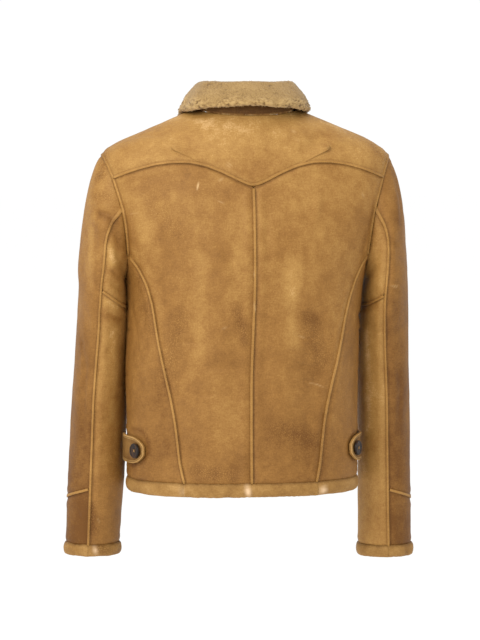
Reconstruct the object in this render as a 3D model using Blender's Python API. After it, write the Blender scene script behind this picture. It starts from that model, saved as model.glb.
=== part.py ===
"""A western-cut sheepskin jacket, filled out as when worn, with its fronts lapped and buttoned.

The hide is outside and the clipped wool inside, and the collar is turned so that its wool shows.
Everything is in metres, +Z up. The origin is the base of the neck, the back of the jacket faces +Y, and the
wearer's left is +X.

The body is one closed form, a stack of level sections, and each sleeve is another, a row of tilted rings.
A place on the body is an angle round it, from the middle of the back, and a height. A place on a sleeve is an
angle round it, from its outer side, and a distance down it. Every panel is a patch between four seams on one
of these forms, and a wall of hide under that patch. Neighbouring panels take their edges from the same seam,
and are drawn in a little from it.
"""

from collections import namedtuple
from math import atan2, cos, exp, pi, radians, sin

import bmesh
import bpy
from mathutils import Matrix, Vector

UP = Vector((0.0, 0.0, 1.0))
DEPTHWAYS = Vector((0.0, 1.0, 0.0))

# Sheepskin and its seams.
BODY_WALL = 0.006
SLEEVE_WALL = 0.005
SEAM_GAP = 0.0003
LAY_ON_GAP = 0.0006
STRIP_WIDTH = 0.0062
STRIP_THICKNESS = 0.0022
EDGE_CLEAR = 0.0009
SLANT_CLEAR = 0.0036
SIDE_STRIP_START = 0.016
SLEEVE_STRIP_START = 0.0085
YOKE_POINT_ROOM = 1.5

# Heights of the main seams, from the base of the neck.
NAPE_HEIGHT = 0.005
NECK_POINT_HEIGHT = 0.015
FRONT_NECK_HEIGHT = -0.075
NECK_HALF_WIDTH = 0.080
YOKE_POINT_HEIGHT = -0.107
HEM_SEAM_HEIGHT = -0.574
HEM_ROLL_HEIGHT = 0.021

# The fronts: the left one laps over the right one.
LAP_HALF_WIDTH = 0.020
LAP_RISE = 0.0080
LAP_RAMP_START = 0.056
LAP_RAMP_END = 0.023

# Level sections of the body, from the neck down. Below the armholes it hangs a little to the left.
BodySection = namedtuple("BodySection", "height middle_x half_width back_depth front_depth squareness")
BODY_SECTIONS = (
    BodySection(0.020, 0.000, 0.069, 0.050, 0.042, 2.20),
    BodySection(0.015, 0.000, 0.080, 0.056, 0.046, 2.20),
    BodySection(-0.002, 0.000, 0.123, 0.068, 0.052, 2.20),
    BodySection(-0.020, 0.000, 0.165, 0.077, 0.057, 2.20),
    BodySection(-0.033, 0.000, 0.198, 0.083, 0.060, 2.25),
    BodySection(-0.045, 0.000, 0.220, 0.088, 0.063, 2.30),
    BodySection(-0.060, 0.000, 0.234, 0.092, 0.067, 2.30),
    BodySection(-0.105, 0.000, 0.232, 0.106, 0.083, 2.30),
    BodySection(-0.143, 0.000, 0.222, 0.116, 0.099, 2.30),
    BodySection(-0.199, 0.000, 0.206, 0.124, 0.115, 2.35),
    BodySection(-0.250, 0.000, 0.191, 0.126, 0.121, 2.40),
    BodySection(-0.320, 0.002, 0.186, 0.123, 0.121, 2.40),
    BodySection(-0.420, 0.005, 0.187, 0.120, 0.119, 2.40),
    BodySection(-0.520, 0.005, 0.187, 0.122, 0.119, 2.40),
    BodySection(-0.574, 0.005, 0.187, 0.126, 0.121, 2.40),
    BodySection(-0.600, 0.005, 0.187, 0.127, 0.122, 2.40),
)

# The armhole, as an oval seen from the side, and the angles round it where other seams meet it.
ARMHOLE_TOP = -0.058
ARMHOLE_BOTTOM = -0.250
ARMHOLE_HALF_DEPTH = 0.056
ARMHOLE_MIDDLE_Y = -0.002
YOKE_MEETS_ARMHOLE = radians(52)
SLEEVE_SEAM_ANGLE = radians(84)
SIDE_MEETS_ARMHOLE = radians(129)
# How many steps each stretch of the armhole is cut into, from the shoulder to the underarm.
ARMHOLE_STEPS = ((0.0, YOKE_MEETS_ARMHOLE, 4), (YOKE_MEETS_ARMHOLE, SLEEVE_SEAM_ANGLE, 2),
                 (SLEEVE_SEAM_ANGLE, SIDE_MEETS_ARMHOLE, 3), (SIDE_MEETS_ARMHOLE, pi, 3))

# Rings of a sleeve: the distance down it, the ring's middle, its tilt from level, and its half sizes.
SleeveRing = namedtuple("SleeveRing", "down middle_x middle_y middle_z tilt half_width half_depth")
SLEEVE_RINGS = (
    SleeveRing(0.000, 0.2125, -0.002, -0.1540, 76.5, 0.0987, 0.056),
    SleeveRing(0.025, 0.2230, -0.005, -0.1815, 71.0, 0.0850, 0.066),
    SleeveRing(0.065, 0.2260, -0.009, -0.2180, 59.5, 0.0660, 0.072),
    SleeveRing(0.095, 0.2275, -0.014, -0.2490, 49.0, 0.0542, 0.074),
    SleeveRing(0.130, 0.2285, -0.020, -0.2800, 33.7, 0.0451, 0.072),
    SleeveRing(0.175, 0.2292, -0.028, -0.3200, 14.5, 0.0405, 0.067),
    SleeveRing(0.236, 0.2310, -0.038, -0.3800, 0.0, 0.0410, 0.060),
    SleeveRing(0.307, 0.2335, -0.047, -0.4510, 0.0, 0.0425, 0.056),
    SleeveRing(0.388, 0.2345, -0.054, -0.5320, 0.0, 0.0430, 0.052),
    SleeveRing(0.470, 0.2348, -0.059, -0.6140, 0.0, 0.0435, 0.049),
    SleeveRing(0.548, 0.2355, -0.062, -0.6920, 0.0, 0.0445, 0.046),
    SleeveRing(0.570, 0.2355, -0.063, -0.7140, 0.0, 0.0445, 0.046),
)
SLEEVE_CAP_FADE = 0.060
CAP_FALL = 0.25
ELBOW_SEAM_DOWN = 0.126
CUFF_SEAM_DOWN = 0.453
CUFF_SEAM_DIP = 0.019
CUFF_ROLL_START = 0.546
CUFF_ROLL_HEIGHT = 0.019
SLEEVE_STEPS = ((0.0, ELBOW_SEAM_DOWN, 7), (ELBOW_SEAM_DOWN, CUFF_SEAM_DOWN, 9),
                (CUFF_SEAM_DOWN, CUFF_ROLL_START, 3))
# How each sleeve hangs in its own way: the degrees its seams have turned round it, and how far it stands out
# and drops from the plain rings.
SleeveHang = namedtuple("SleeveHang", "down turn out drop")
SLEEVE_HANG = {
    1: (
        SleeveHang(0.000, 0.0, 0.000, 0.000),
        SleeveHang(0.060, -3.0, 0.000, 0.000),
        SleeveHang(0.126, -6.0, 0.000, 0.000),
        SleeveHang(0.300, -7.0, 0.002, 0.001),
        SleeveHang(0.570, -8.0, 0.007, 0.003),
    ),
    -1: (
        SleeveHang(0.000, 0.0, 0.000, 0.000),
        SleeveHang(0.060, 12.0, 0.000, 0.000),
        SleeveHang(0.126, 20.0, 0.000, 0.001),
        SleeveHang(0.300, 13.0, 0.001, -0.004),
        SleeveHang(0.570, 7.0, 0.0035, -0.007),
    ),
}

# The seams that cross the back, as places on its surface.
YokeStation = namedtuple("YokeStation", "across height")
YOKE_SEAM = (
    YokeStation(0.000, YOKE_POINT_HEIGHT),
    YokeStation(0.018, -0.0985),
    YokeStation(0.036, -0.090),
    YokeStation(0.062, -0.077),
    YokeStation(0.086, -0.070),
    YokeStation(0.107, -0.0675),
    YokeStation(0.133, -0.0685),
    YokeStation(0.162, -0.074),
    YokeStation(0.193, -0.084),
)
SideStation = namedtuple("SideStation", "height across")
SIDE_BACK_SEAM = (
    SideStation(-0.232, 0.180),
    SideStation(-0.272, 0.162),
    SideStation(-0.341, 0.147),
    SideStation(-0.398, 0.135),
    SideStation(-0.454, 0.124),
    SideStation(-0.499, 0.117),
    SideStation(-0.555, 0.111),
    SideStation(HEM_SEAM_HEIGHT, 0.106),
)
SIDE_FRONT_SEAM = (
    SideStation(-0.300, 0.166),
    SideStation(-0.450, 0.146),
    SideStation(HEM_SEAM_HEIGHT, 0.134),
)
# How many steps each seam is cut into. FINE_STEPS is for the lines that are then cut anew into equal steps.
FINE_STEPS = 90
YOKE_HALF_STEPS = (6, 3)
SIDE_SEAM_STEPS = 12
FRONT_NECK_STEPS = 5
# Distances from the middle at which the fronts are cut into columns at the hem.
FRONT_COLUMNS = (-LAP_HALF_WIDTH, 0.004, 0.023, 0.042, 0.062, 0.095)

# Soft folds: their middle, their lean from straight down, their half sizes and how far they stand out.
Fold = namedtuple("Fold", "angle down lean half_length half_width depth")
BODY_FOLDS = (
    Fold(radians(17), -0.360, 2, 0.200, 0.026, 0.0030),
    Fold(radians(32), -0.400, -8, 0.170, 0.024, -0.0045),
    Fold(radians(44), -0.330, -14, 0.110, 0.022, 0.0040),
    Fold(radians(-15), -0.390, -3, 0.190, 0.028, 0.0035),
    Fold(radians(-29), -0.350, 6, 0.180, 0.024, -0.0045),
    Fold(radians(-46), -0.400, 12, 0.130, 0.022, 0.0035),
    Fold(radians(60), -0.440, 24, 0.085, 0.018, -0.0040),
    Fold(radians(-62), -0.455, -22, 0.080, 0.018, -0.0040),
    Fold(radians(140), -0.330, 4, 0.190, 0.026, -0.0040),
    Fold(radians(-138), -0.350, -6, 0.180, 0.028, -0.0040),
    Fold(radians(120), -0.420, -12, 0.130, 0.022, 0.0035),
    Fold(radians(-122), -0.400, 10, 0.140, 0.022, 0.0035),
)
SLEEVE_FOLDS = {
    1: (
        Fold(radians(60), 0.075, 70, 0.060, 0.014, -0.0050),
        Fold(radians(118), 0.090, 82, 0.045, 0.013, -0.0045),
        Fold(radians(70), 0.165, 78, 0.060, 0.014, 0.0045),
        Fold(radians(105), 0.200, 96, 0.055, 0.014, -0.0050),
        Fold(radians(50), 0.255, 74, 0.050, 0.014, -0.0045),
        Fold(radians(110), 0.300, 100, 0.050, 0.015, 0.0035),
        Fold(radians(20), 0.350, 8, 0.110, 0.015, -0.0030),
        Fold(radians(-70), 0.120, 100, 0.060, 0.015, -0.0050),
        Fold(radians(-95), 0.190, 84, 0.055, 0.014, -0.0055),
        Fold(radians(-60), 0.260, 96, 0.050, 0.015, -0.0040),
        Fold(radians(90), 0.400, 84, 0.050, 0.016, -0.0030),
    ),
    -1: (
        Fold(radians(55), 0.085, 104, 0.055, 0.014, -0.0045),
        Fold(radians(112), 0.100, 92, 0.045, 0.013, -0.0045),
        Fold(radians(80), 0.170, 98, 0.060, 0.014, 0.0045),
        Fold(radians(66), 0.210, 84, 0.055, 0.014, -0.0050),
        Fold(radians(104), 0.265, 78, 0.050, 0.014, -0.0040),
        Fold(radians(30), 0.330, -6, 0.120, 0.015, -0.0030),
        Fold(radians(-74), 0.110, 80, 0.060, 0.015, -0.0050),
        Fold(radians(-92), 0.185, 97, 0.055, 0.014, -0.0055),
        Fold(radians(-55), 0.250, 82, 0.050, 0.015, -0.0040),
        Fold(radians(84), 0.385, 97, 0.050, 0.016, -0.0030),
    ),
}
BODY_REACH = 0.155
SLEEVE_REACH = 0.052

# Rolled edges: how far down the roll, and how far its outside and its inside stand from the form.
RollStation = namedtuple("RollStation", "share outside inside")
HEM_ROLL = (
    RollStation(0.0, 0.0008, -0.0050),
    RollStation(0.3, 0.0026, -0.0050),
    RollStation(0.7, 0.0026, -0.0050),
    RollStation(1.0, 0.0000, -0.0036),
)
CUFF_ROLL = (
    RollStation(0.0, 0.0008, -0.0046),
    RollStation(0.3, 0.0028, -0.0046),
    RollStation(0.7, 0.0028, -0.0046),
    RollStation(1.0, 0.0002, -0.0034),
)

# The collar at stations round the neck, from the middle of the back to the front edge: the height of its
# stand, how far its fold leans in, how far out and how far up its lower edge lies, and the least room between
# it and the body.
CollarStation = namedtuple("CollarStation", "share stand lean reach edge_height room")
COLLAR_STATIONS = (
    CollarStation(0.00, 0.047, -0.010, 0.020, 0.012, 0.0050),
    CollarStation(0.20, 0.0455, -0.010, 0.0205, 0.0105, 0.0040),
    CollarStation(0.30, 0.0430, -0.0095, 0.022, 0.001, 0.0032),
    CollarStation(0.40, 0.0390, -0.009, 0.0245, -0.002, 0.0025),
    CollarStation(0.50, 0.0365, -0.008, 0.0255, 0.0025, 0.0030),
    CollarStation(0.60, 0.0345, -0.007, 0.028, -0.003, 0.0030),
    CollarStation(0.80, 0.030, -0.004, 0.030, -0.034, 0.0046),
    CollarStation(0.93, 0.025, -0.003, 0.030, -0.060, 0.0125),
    CollarStation(1.00, 0.022, -0.002, 0.026, -0.050, 0.0135),
)
COLLAR_WALL = 0.0080
COLLAR_FOLD_RADIUS = 0.0062
# Where the stand starts to lean in, as shares of its lean and of its height.
STAND_BEND_LEAN = 0.35
STAND_BEND_RISE = 0.50
# How many steps of the collar each step of the neckline is cut into.
COLLAR_CUTS = 2
COLLAR_END_GAP = 0.004
COLLAR_FALL_STEPS = 3
COLLAR_FALL_SWELL = 0.004
COLLAR_FOLD_TURN = radians(165)
COLLAR_FOLD_STEPS = 4
FALL_PUSH = 0.0005

# The waist tabs and the buttons.
TAB_HEIGHT = -0.526
TAB_HALF_WIDTH = 0.0215
TAB_THICKNESS = 0.0040
TAB_FRONT_Y = -0.016
TAB_BACK_Y = 0.0715
# Shares of the tab's length, and its half width there as a share of the full one.
TabStation = namedtuple("TabStation", "share width")
TAB_OUTLINE = (TabStation(0.0, 1.0), TabStation(0.14, 1.0), TabStation(0.28, 1.0), TabStation(0.42, 1.0),
               TabStation(0.56, 1.0), TabStation(0.68, 1.0), TabStation(0.79, 0.97), TabStation(0.88, 0.84),
               TabStation(0.95, 0.62), TabStation(1.0, 0.34))
TAB_STEPS_ACROSS = 4
TAB_BUTTON_SHARE = 0.84
BUTTON_RADIUS = 0.0118
BUTTON_THICKNESS = 0.0044
BUTTON_RIM = 0.0026
BUTTON_DISH = 0.0011
BUTTON_ROUNDING = 0.0010
BUTTON_SIDES = 18
BUTTON_SEAT = 0.0005
FRONT_BUTTON_HEIGHTS = (-0.120, -0.222, -0.324, -0.426, -0.528)

# Faces that meet at more than this angle look sharp.
SHARP_FROM = radians(40)
# A small distance, for working out which way is out.
PROBE = 0.001

HIDE = ("tan hide", (0.50, 0.28, 0.10), 0.62)
WOOL = ("clipped wool", (0.62, 0.43, 0.22), 0.95)
HORN = ("dark horn", (0.035, 0.020, 0.012), 0.35)


# ---------------------------------------------------------------- smooth tables

def smooth_value(keys, values, key):
    """The value at a key on a smooth curve through a table, which never swings past its rows."""
    if key <= keys[0]:
        return values[0]
    if key >= keys[-1]:
        return values[-1]
    low = max(number for number, start in enumerate(keys[:-1]) if start <= key)
    span = keys[low + 1] - keys[low]
    share = (key - keys[low]) / span
    slopes = [_slope(keys, values, number) for number in (low, low + 1)]
    rise = values[low + 1] - values[low]
    blend = share * share * (3 - 2 * share)
    bend = share * (1 - share) * ((1 - share) * slopes[0] - share * slopes[1]) * span
    return values[low] + blend * rise + bend


def _slope(keys, values, number):
    """The slope of the smooth curve at one row: the harmonic mean of the slopes on its two sides."""
    if number in (0, len(keys) - 1):
        step = 1 if number == 0 else -1
        return (values[number + step] - values[number]) / (keys[number + step] - keys[number])
    before = (values[number] - values[number - 1]) / (keys[number] - keys[number - 1])
    after = (values[number + 1] - values[number]) / (keys[number + 1] - keys[number])
    return 2 * before * after / (before + after) if before * after > 0 else 0.0


def column(rows, name):
    """One named column of a table."""
    return [getattr(row, name) for row in rows]


def smooth_step(value):
    """0 up to 0, 1 from 1 on, and smooth between."""
    value = min(max(value, 0.0), 1.0)
    return value * value * (3 - 2 * value)


def evenly(start, end, steps):
    """Numbers from start to end in equal steps, both ends included."""
    return [start + (end - start) * step / steps for step in range(steps + 1)]


def in_steps(stretches):
    """The ends and the even cuts of stretches that follow one another, each as start, end and steps."""
    cuts = [stretches[0][0]]
    for start, end, steps in stretches:
        cuts += evenly(start, end, steps)[1:]
    return cuts


# ---------------------------------------------------------------- the form of the body

BODY_ROWS = BODY_SECTIONS[::-1]
BODY_HEIGHTS = column(BODY_ROWS, "height")


def body_size(height, name):
    """A size of the body's level section at a height."""
    return smooth_value(BODY_HEIGHTS, column(BODY_ROWS, name), height)


def body_depth(height, at_back):
    """How far the body reaches back or forward at a height."""
    return body_size(height, "back_depth" if at_back else "front_depth")


def body_point(angle, height):
    """The point of the plain form at an angle from the middle of the back, to the left, and a height."""
    power = body_size(height, "squareness")
    scale = (abs(sin(angle)) ** power + abs(cos(angle)) ** power) ** (-1 / power)
    width, depth = body_size(height, "half_width"), body_depth(height, cos(angle) >= 0)
    across = body_size(height, "middle_x") + width * scale * sin(angle)
    return Vector((across, depth * scale * cos(angle), height))


def body_level(point):
    """Under 0 inside the body's form, 0 on it and over 0 outside it."""
    power = body_size(point.z, "squareness")
    across = abs(point.x - body_size(point.z, "middle_x")) / body_size(point.z, "half_width")
    along = abs(point.y) / body_depth(point.z, point.y >= 0)
    return across ** power + along ** power - 1


def body_slope(point, step=0.0005):
    """The gradient of body_level, by small steps."""
    return Vector([(body_level(point + way * step) - body_level(point - way * step)) / (2 * step)
                   for way in (Vector((1, 0, 0)), DEPTHWAYS, UP)])


def body_room(point):
    """The distance from the body's form to a point near it, over 0 outside."""
    return body_level(point) / body_slope(point).length


def angle_from_width(across, height, at_back=True):
    """The angle of the place that lies this far across, at a height of the back or of the front."""
    power = body_size(height, "squareness")
    share = min(abs(across) / body_size(height, "half_width"), 1.0)
    depth = (1 - share ** power) ** (1 / power)
    angle = atan2(share, depth if at_back else -depth)
    if across >= 0:
        return angle
    return -angle if at_back else 2 * pi - angle


def angle_from_depth(along, height):
    """The angle of the place on the left side that lies this far back, at a height."""
    power = body_size(height, "squareness")
    share = min(abs(along) / body_depth(height, along >= 0), 1.0)
    return atan2((1 - share ** power) ** (1 / power), share if along >= 0 else -share)


def fold_height(folds, reach, angle, down):
    """How far the folds push a place out."""
    total = 0.0
    for fold in folds:
        turn = (angle - fold.angle + pi) % (2 * pi) - pi
        sideways, downwards = turn * reach, down - fold.down
        lean = radians(fold.lean)
        across = sideways * cos(lean) - downwards * sin(lean)
        along = sideways * sin(lean) + downwards * cos(lean)
        if abs(along) < fold.half_length:
            fade = (1 - (along / fold.half_length) ** 2) ** 2
            total += fold.depth * fade * exp(-((across / fold.half_width) ** 2))
    return total


def lap_rise(point):
    """How far the left front stands out to pass over the right one."""
    across = point.x - body_size(point.z, "middle_x")
    return LAP_RISE * smooth_step((LAP_RAMP_START - across) / (LAP_RAMP_START - LAP_RAMP_END))


def body_skin(place, out=0.0, lapped=False):
    """The point of the garment's outer face at a place on the body, moved out by a distance."""
    angle, height = place
    point = body_point(angle, height)
    rise = out + fold_height(BODY_FOLDS, BODY_REACH, angle, height)
    if lapped and point.y < 0:
        rise += lap_rise(point)
    return point + body_slope(point).normalized() * rise


def lapped_skin(place, out=0.0):
    """body_skin on the left front."""
    return body_skin(place, out, lapped=True)


# ---------------------------------------------------------------- the form of a sleeve

RING_DOWNS = column(SLEEVE_RINGS, "down")


def ring_size(down, name):
    """A size of the sleeve's ring at a distance down it."""
    return smooth_value(RING_DOWNS, column(SLEEVE_RINGS, name), down)


def armhole_place(angle):
    """The place on the body of an angle round the left armhole, which is 0 at its top and grows backwards."""
    middle, half = (ARMHOLE_TOP + ARMHOLE_BOTTOM) / 2, (ARMHOLE_TOP - ARMHOLE_BOTTOM) / 2
    height = middle + half * cos(angle)
    return angle_from_depth(ARMHOLE_MIDDLE_Y + ARMHOLE_HALF_DEPTH * sin(angle), height), height


def plain_ring_point(angle, down):
    """The point of the left sleeve's ring, before the ring is fitted to the armhole."""
    middle = Vector((ring_size(down, "middle_x"), ring_size(down, "middle_y"), ring_size(down, "middle_z")))
    tilt = radians(ring_size(down, "tilt"))
    outward = Vector((cos(tilt), 0.0, sin(tilt)))
    across = outward * ring_size(down, "half_width") * cos(angle)
    return middle + across + DEPTHWAYS * ring_size(down, "half_depth") * sin(angle)


def sleeve_point(angle, down):
    """The point of the left sleeve's form. Near the armhole it bends to meet the body's form."""
    point = plain_ring_point(angle, down)
    if down < SLEEVE_CAP_FADE:
        seam = body_point(*armhole_place(angle))
        fade = (1 - down / SLEEVE_CAP_FADE) ** 2
        point += (seam - plain_ring_point(angle, 0.0)) * fade
    return point


def sleeve_tangent(angle, down, step=0.001):
    """The way down the sleeve at a place."""
    start = max(down - step, 0.0)
    return (sleeve_point(angle, start + 2 * step) - sleeve_point(angle, start)).normalized()


def sleeve_normal(angle, down, step=0.01):
    """The way out of the sleeve at a place."""
    round_it = sleeve_point(angle + step, down) - sleeve_point(angle - step, down)
    return sleeve_tangent(angle, down).cross(round_it).normalized()


def sleeve_edge_way(angle, down):
    """The way out of the wall at a place, which is the body's where the walls meet at the armhole's top."""
    way = sleeve_normal(angle, down)
    if down < PROBE:
        body_way = body_slope(body_point(*armhole_place(angle))).normalized()
        falls_away = -sleeve_tangent(angle, down).dot(body_way)
        way = way.lerp(body_way, smooth_step(falls_away / CAP_FALL)).normalized()
    return way


def mirrored(point, side):
    """The same point on the left side, 1, or on the right side, -1."""
    return Vector((side * point.x, point.y, point.z))


def hang_value(side, down, name):
    """How far one side's sleeve differs from the plain rings at a distance down it."""
    rows = SLEEVE_HANG[side]
    return smooth_value(column(rows, "down"), column(rows, name), down)


def sleeve_skin_on(side):
    """The function that gives a sleeve's outer face at a place, moved out by a distance."""

    def skin(place, out=0.0):
        angle, down = place
        turned = angle + radians(hang_value(side, down, "turn"))
        start = smooth_step(down / SLEEVE_CAP_FADE)
        rise = out + start * fold_height(SLEEVE_FOLDS[side], SLEEVE_REACH, angle, down)
        hang = Vector((hang_value(side, down, "out"), 0.0, hang_value(side, down, "drop")))
        return mirrored(sleeve_point(turned, down) + sleeve_edge_way(turned, down) * rise + hang, side)

    return skin


# ---------------------------------------------------------------- seams

def resampled(places, steps, skin=body_skin):
    """A dense line of places on a form, cut anew into steps of equal length."""
    points = [skin(place) for place in places]
    lengths = [0.0]
    for before, after in zip(points, points[1:]):
        lengths.append(lengths[-1] + (after - before).length)
    cut = []
    for length in evenly(0.0, lengths[-1], steps):
        after = next((n for n, far in enumerate(lengths) if far > length), len(lengths) - 1)
        share = (length - lengths[after - 1]) / (lengths[after] - lengths[after - 1])
        ends = places[after - 1], places[after]
        cut.append(tuple(a + (b - a) * share for a, b in zip(*ends)))
    return cut


def other_side(places):
    """The same places on the right half of the body."""
    return [(-angle, height) for angle, height in places]


def armhole_seam(start, end):
    """The places on the body of the left armhole's cuts between two angles, from start to end."""
    cuts = in_steps(ARMHOLE_STEPS)
    cuts = sorted({round(cut, 9) for cut in cuts + [-cut for cut in cuts] + [2 * pi - cut for cut in cuts]})
    low, high = min(start, end) - 1e-6, max(start, end) + 1e-6
    kept = [cut for cut in cuts if low <= cut <= high]
    return [armhole_place(cut) for cut in (kept if start < end else kept[::-1])]


def yoke_seam():
    """The yoke seam's left half, from the middle of the back to the armhole."""
    end = body_point(*armhole_place(YOKE_MEETS_ARMHOLE))
    across = column(YOKE_SEAM, "across") + [end.x]
    heights = column(YOKE_SEAM, "height") + [end.z]
    line = [(x, smooth_value(across, heights, x)) for x in evenly(0.0, end.x, FINE_STEPS)]
    return resampled([(angle_from_width(x, z), z) for x, z in line], sum(YOKE_HALF_STEPS))


def side_seam(stations, armhole_angle):
    """A side seam's places, from the armhole down to the hem."""
    start = body_point(*armhole_place(armhole_angle))
    heights = [start.z] + column(stations, "height")
    across = [start.x] + column(stations, "across")
    line = evenly(start.z, HEM_SEAM_HEIGHT, FINE_STEPS)
    rising = heights[::-1], across[::-1]
    at_back = armhole_angle > 0
    places = [(angle_from_width(smooth_value(*rising, z), z, at_back), z) for z in line[1:]]
    return resampled([armhole_place(armhole_angle)] + places, SIDE_SEAM_STEPS)


def shoulder_seam():
    """The left shoulder seam, from the armhole up to the neck."""
    heights = evenly(ARMHOLE_TOP, NECK_POINT_HEIGHT, FINE_STEPS)
    start = armhole_place(0.0)
    turn = pi / 2 - start[0]
    line = [(start[0] + turn * smooth_step(n / FINE_STEPS), z) for n, z in enumerate(heights)]
    return resampled(line, YOKE_HALF_STEPS[0])


def back_neck():
    """The left half of the back neckline, from the shoulder seam to the middle of the back."""
    angles = evenly(pi / 2, 0.0, FINE_STEPS)
    rise = NECK_POINT_HEIGHT - NAPE_HEIGHT
    return resampled([(a, NAPE_HEIGHT + rise * sin(a) ** 2) for a in angles], YOKE_HALF_STEPS[1])


def front_edge(lower_steps):
    """The left front's inner side: the neckline, the top of the lap and the lap's edge down to the hem."""
    drop = NECK_POINT_HEIGHT - FRONT_NECK_HEIGHT
    turns = evenly(0.0, pi / 2, FINE_STEPS)
    neck = [(NECK_HALF_WIDTH * cos(turn), NECK_POINT_HEIGHT - drop * sin(turn)) for turn in turns]
    neck += [(across, FRONT_NECK_HEIGHT) for across in evenly(0.0, -LAP_HALF_WIDTH, FINE_STEPS)[1:]]
    edge = [(-LAP_HALF_WIDTH, height) for height in evenly(FRONT_NECK_HEIGHT, HEM_SEAM_HEIGHT, FINE_STEPS)]
    cut = [resampled([(angle_from_width(x, z, at_back=False), z) for x, z in line], steps)
           for line, steps in ((neck, FRONT_NECK_STEPS), (edge, lower_steps))]
    return cut[0] + cut[1][1:]


def hem_line(places_across, at_back):
    """Places along the hem seam at these distances from the middle."""
    angles = [angle_from_width(across, HEM_SEAM_HEIGHT, at_back) for across in places_across]
    return [(angle, HEM_SEAM_HEIGHT) for angle in angles]


# ---------------------------------------------------------------- patches and walls

def patch(top, bottom, first, last):
    """A grid of places between four seams that share corners. Top and bottom run from first to last."""
    rows, columns = len(first), len(top)
    grid = []
    for row in range(rows):
        down = row / (rows - 1)
        line = []
        for number in range(columns):
            over = number / (columns - 1)
            line.append(tuple(
                (1 - down) * top[number][part] + down * bottom[number][part]
                + (1 - over) * first[row][part] + over * last[row][part]
                - (1 - down) * ((1 - over) * top[0][part] + over * top[-1][part])
                - down * ((1 - over) * bottom[0][part] + over * bottom[-1][part])
                for part in (0, 1)))
        grid.append(line)
    return grid


def drawn_in(grid, gap=SEAM_GAP / 2):
    """The grid of points with its four edges drawn in by a distance, square to each edge."""
    last_row, last_column = len(grid) - 1, len(grid[0]) - 1
    moved = [[point.copy() for point in line] for line in grid]
    for row in range(last_row + 1):
        for number in range(last_column + 1):
            here = grid[row][number]
            if row in (0, last_row):
                inner = grid[1 if row == 0 else last_row - 1][number]
                along = grid[row][min(number + 1, last_column)] - grid[row][max(number - 1, 0)]
                moved[row][number] += _square_step(inner - here, along, gap)
            if number in (0, last_column):
                inner = grid[row][1 if number == 0 else last_column - 1]
                along = grid[min(row + 1, last_row)][number] - grid[max(row - 1, 0)][number]
                moved[row][number] += _square_step(inner - here, along, gap)
    return moved


def _square_step(inward, along, gap):
    """A step of this length towards the inside of a patch, square to its edge."""
    along = along.normalized()
    return (inward - along * inward.dot(along)).normalized() * gap


def wall(name, outer, inner, finish, collection):
    """A closed wall between two grids of points with the same rows and columns."""
    columns = len(outer[0])
    shell = bmesh.new()
    place = shell.verts.layers.int.new("place")
    bmesh.ops.create_grid(shell, x_segments=columns - 1, y_segments=len(outer) - 1, size=1.0)
    for number, corner in enumerate(shell.verts):
        corner[place] = number
    made = bmesh.ops.extrude_face_region(shell, geom=shell.faces[:], use_keep_orig=True)
    second = {part for part in made["geom"] if isinstance(part, bmesh.types.BMVert)}
    for corner in shell.verts:
        row, number = divmod(corner[place], columns)
        corner.co = (inner if corner in second else outer)[row][number]
    bmesh.ops.recalc_face_normals(shell, faces=shell.faces[:])
    if shell.calc_volume(signed=True) < 0:
        bmesh.ops.reverse_faces(shell, faces=shell.faces[:])
    for face in shell.faces[:]:
        if 0 < len(second & set(face.verts)) < len(face.verts):
            split_edge_face(face, second)
        else:
            split_hollow(face)
    shell.verts.layers.int.remove(place)
    return as_object(name, shell, finish, collection)


def split_hollow(face):
    """Splits a face of four corners so that it dips and never bulges, to keep the room over it clear."""
    first, second, third, fourth = face.verts
    rises = (first.co + third.co - second.co - fourth.co).dot(face.normal) > 0
    bmesh.utils.face_split(face, *((second, fourth) if rises else (first, third)))


def split_edge_face(face, inner_corners):
    """Splits a face of a wall's edge the same way as the one across the seam, so that both lie flat."""
    outer = [corner for corner in face.verts if corner not in inner_corners]
    low = min(outer, key=lambda corner: (round(corner.co.z, 4), corner.co.x))
    beside = {other for edge in low.link_edges for other in edge.verts}
    far = next(corner for corner in face.verts if corner not in beside)
    bmesh.utils.face_split(face, low, far)


def as_object(name, shape, finish, collection):
    """An object of its own, with its own material, from an edit mesh."""
    mesh = bpy.data.meshes.new(name)
    shape.to_mesh(mesh)
    shape.free()
    mesh.shade_smooth()
    mesh.set_sharp_from_angle(angle=SHARP_FROM)
    label, colour, roughness = finish
    material = bpy.data.materials.new(f"{name} {label}")
    material.use_nodes = True
    shader = material.node_tree.nodes["Principled BSDF"]
    shader.inputs["Base Color"].default_value = (*colour, 1.0)
    shader.inputs["Roughness"].default_value = roughness
    mesh.materials.append(material)
    made = bpy.data.objects.new(name, mesh)
    collection.objects.link(made)
    return made


def panel(name, grid, skin, thickness, collection):
    """A panel of hide over a grid of places."""
    faces = [drawn_in([[skin(place, out) for place in line] for line in grid]) for out in (0.0, -thickness)]
    return wall(name, *faces, HIDE, collection)


def roll(name, line, stations, skin, down_by, collection):
    """A rolled edge below a line of places."""
    grids = []
    for side in ("outside", "inside"):
        grids.append(drawn_in([[skin((angle, down + station.share * down_by), getattr(station, side))
                                for angle, down in line] for station in stations]))
    return wall(name, *grids, HIDE, collection)


def strip(name, line, rows, skin, collection, cut=(0.0, 0.0)):
    """A strip of hide along a line of places. Each of its rows lies a distance off, towards other places."""
    faces = []
    for lift in (LAY_ON_GAP + STRIP_THICKNESS, LAY_ON_GAP):
        points = [skin(place) for place in line]
        ways = [(skin(place, PROBE) - point).normalized() for place, point in zip(line, points)]
        made = []
        for towards, distance in rows:
            row = []
            for number, (point, way) in enumerate(zip(points, ways)):
                along = points[min(number + 1, len(points) - 1)] - points[max(number - 1, 0)]
                aside = _square_step(skin(towards[number]) - point, along, distance)
                row.append(point + aside + way * lift)
            made.append(row)
        faces.append(trimmed(made, cut))
    return wall(name, *faces, HIDE, collection)


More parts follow.
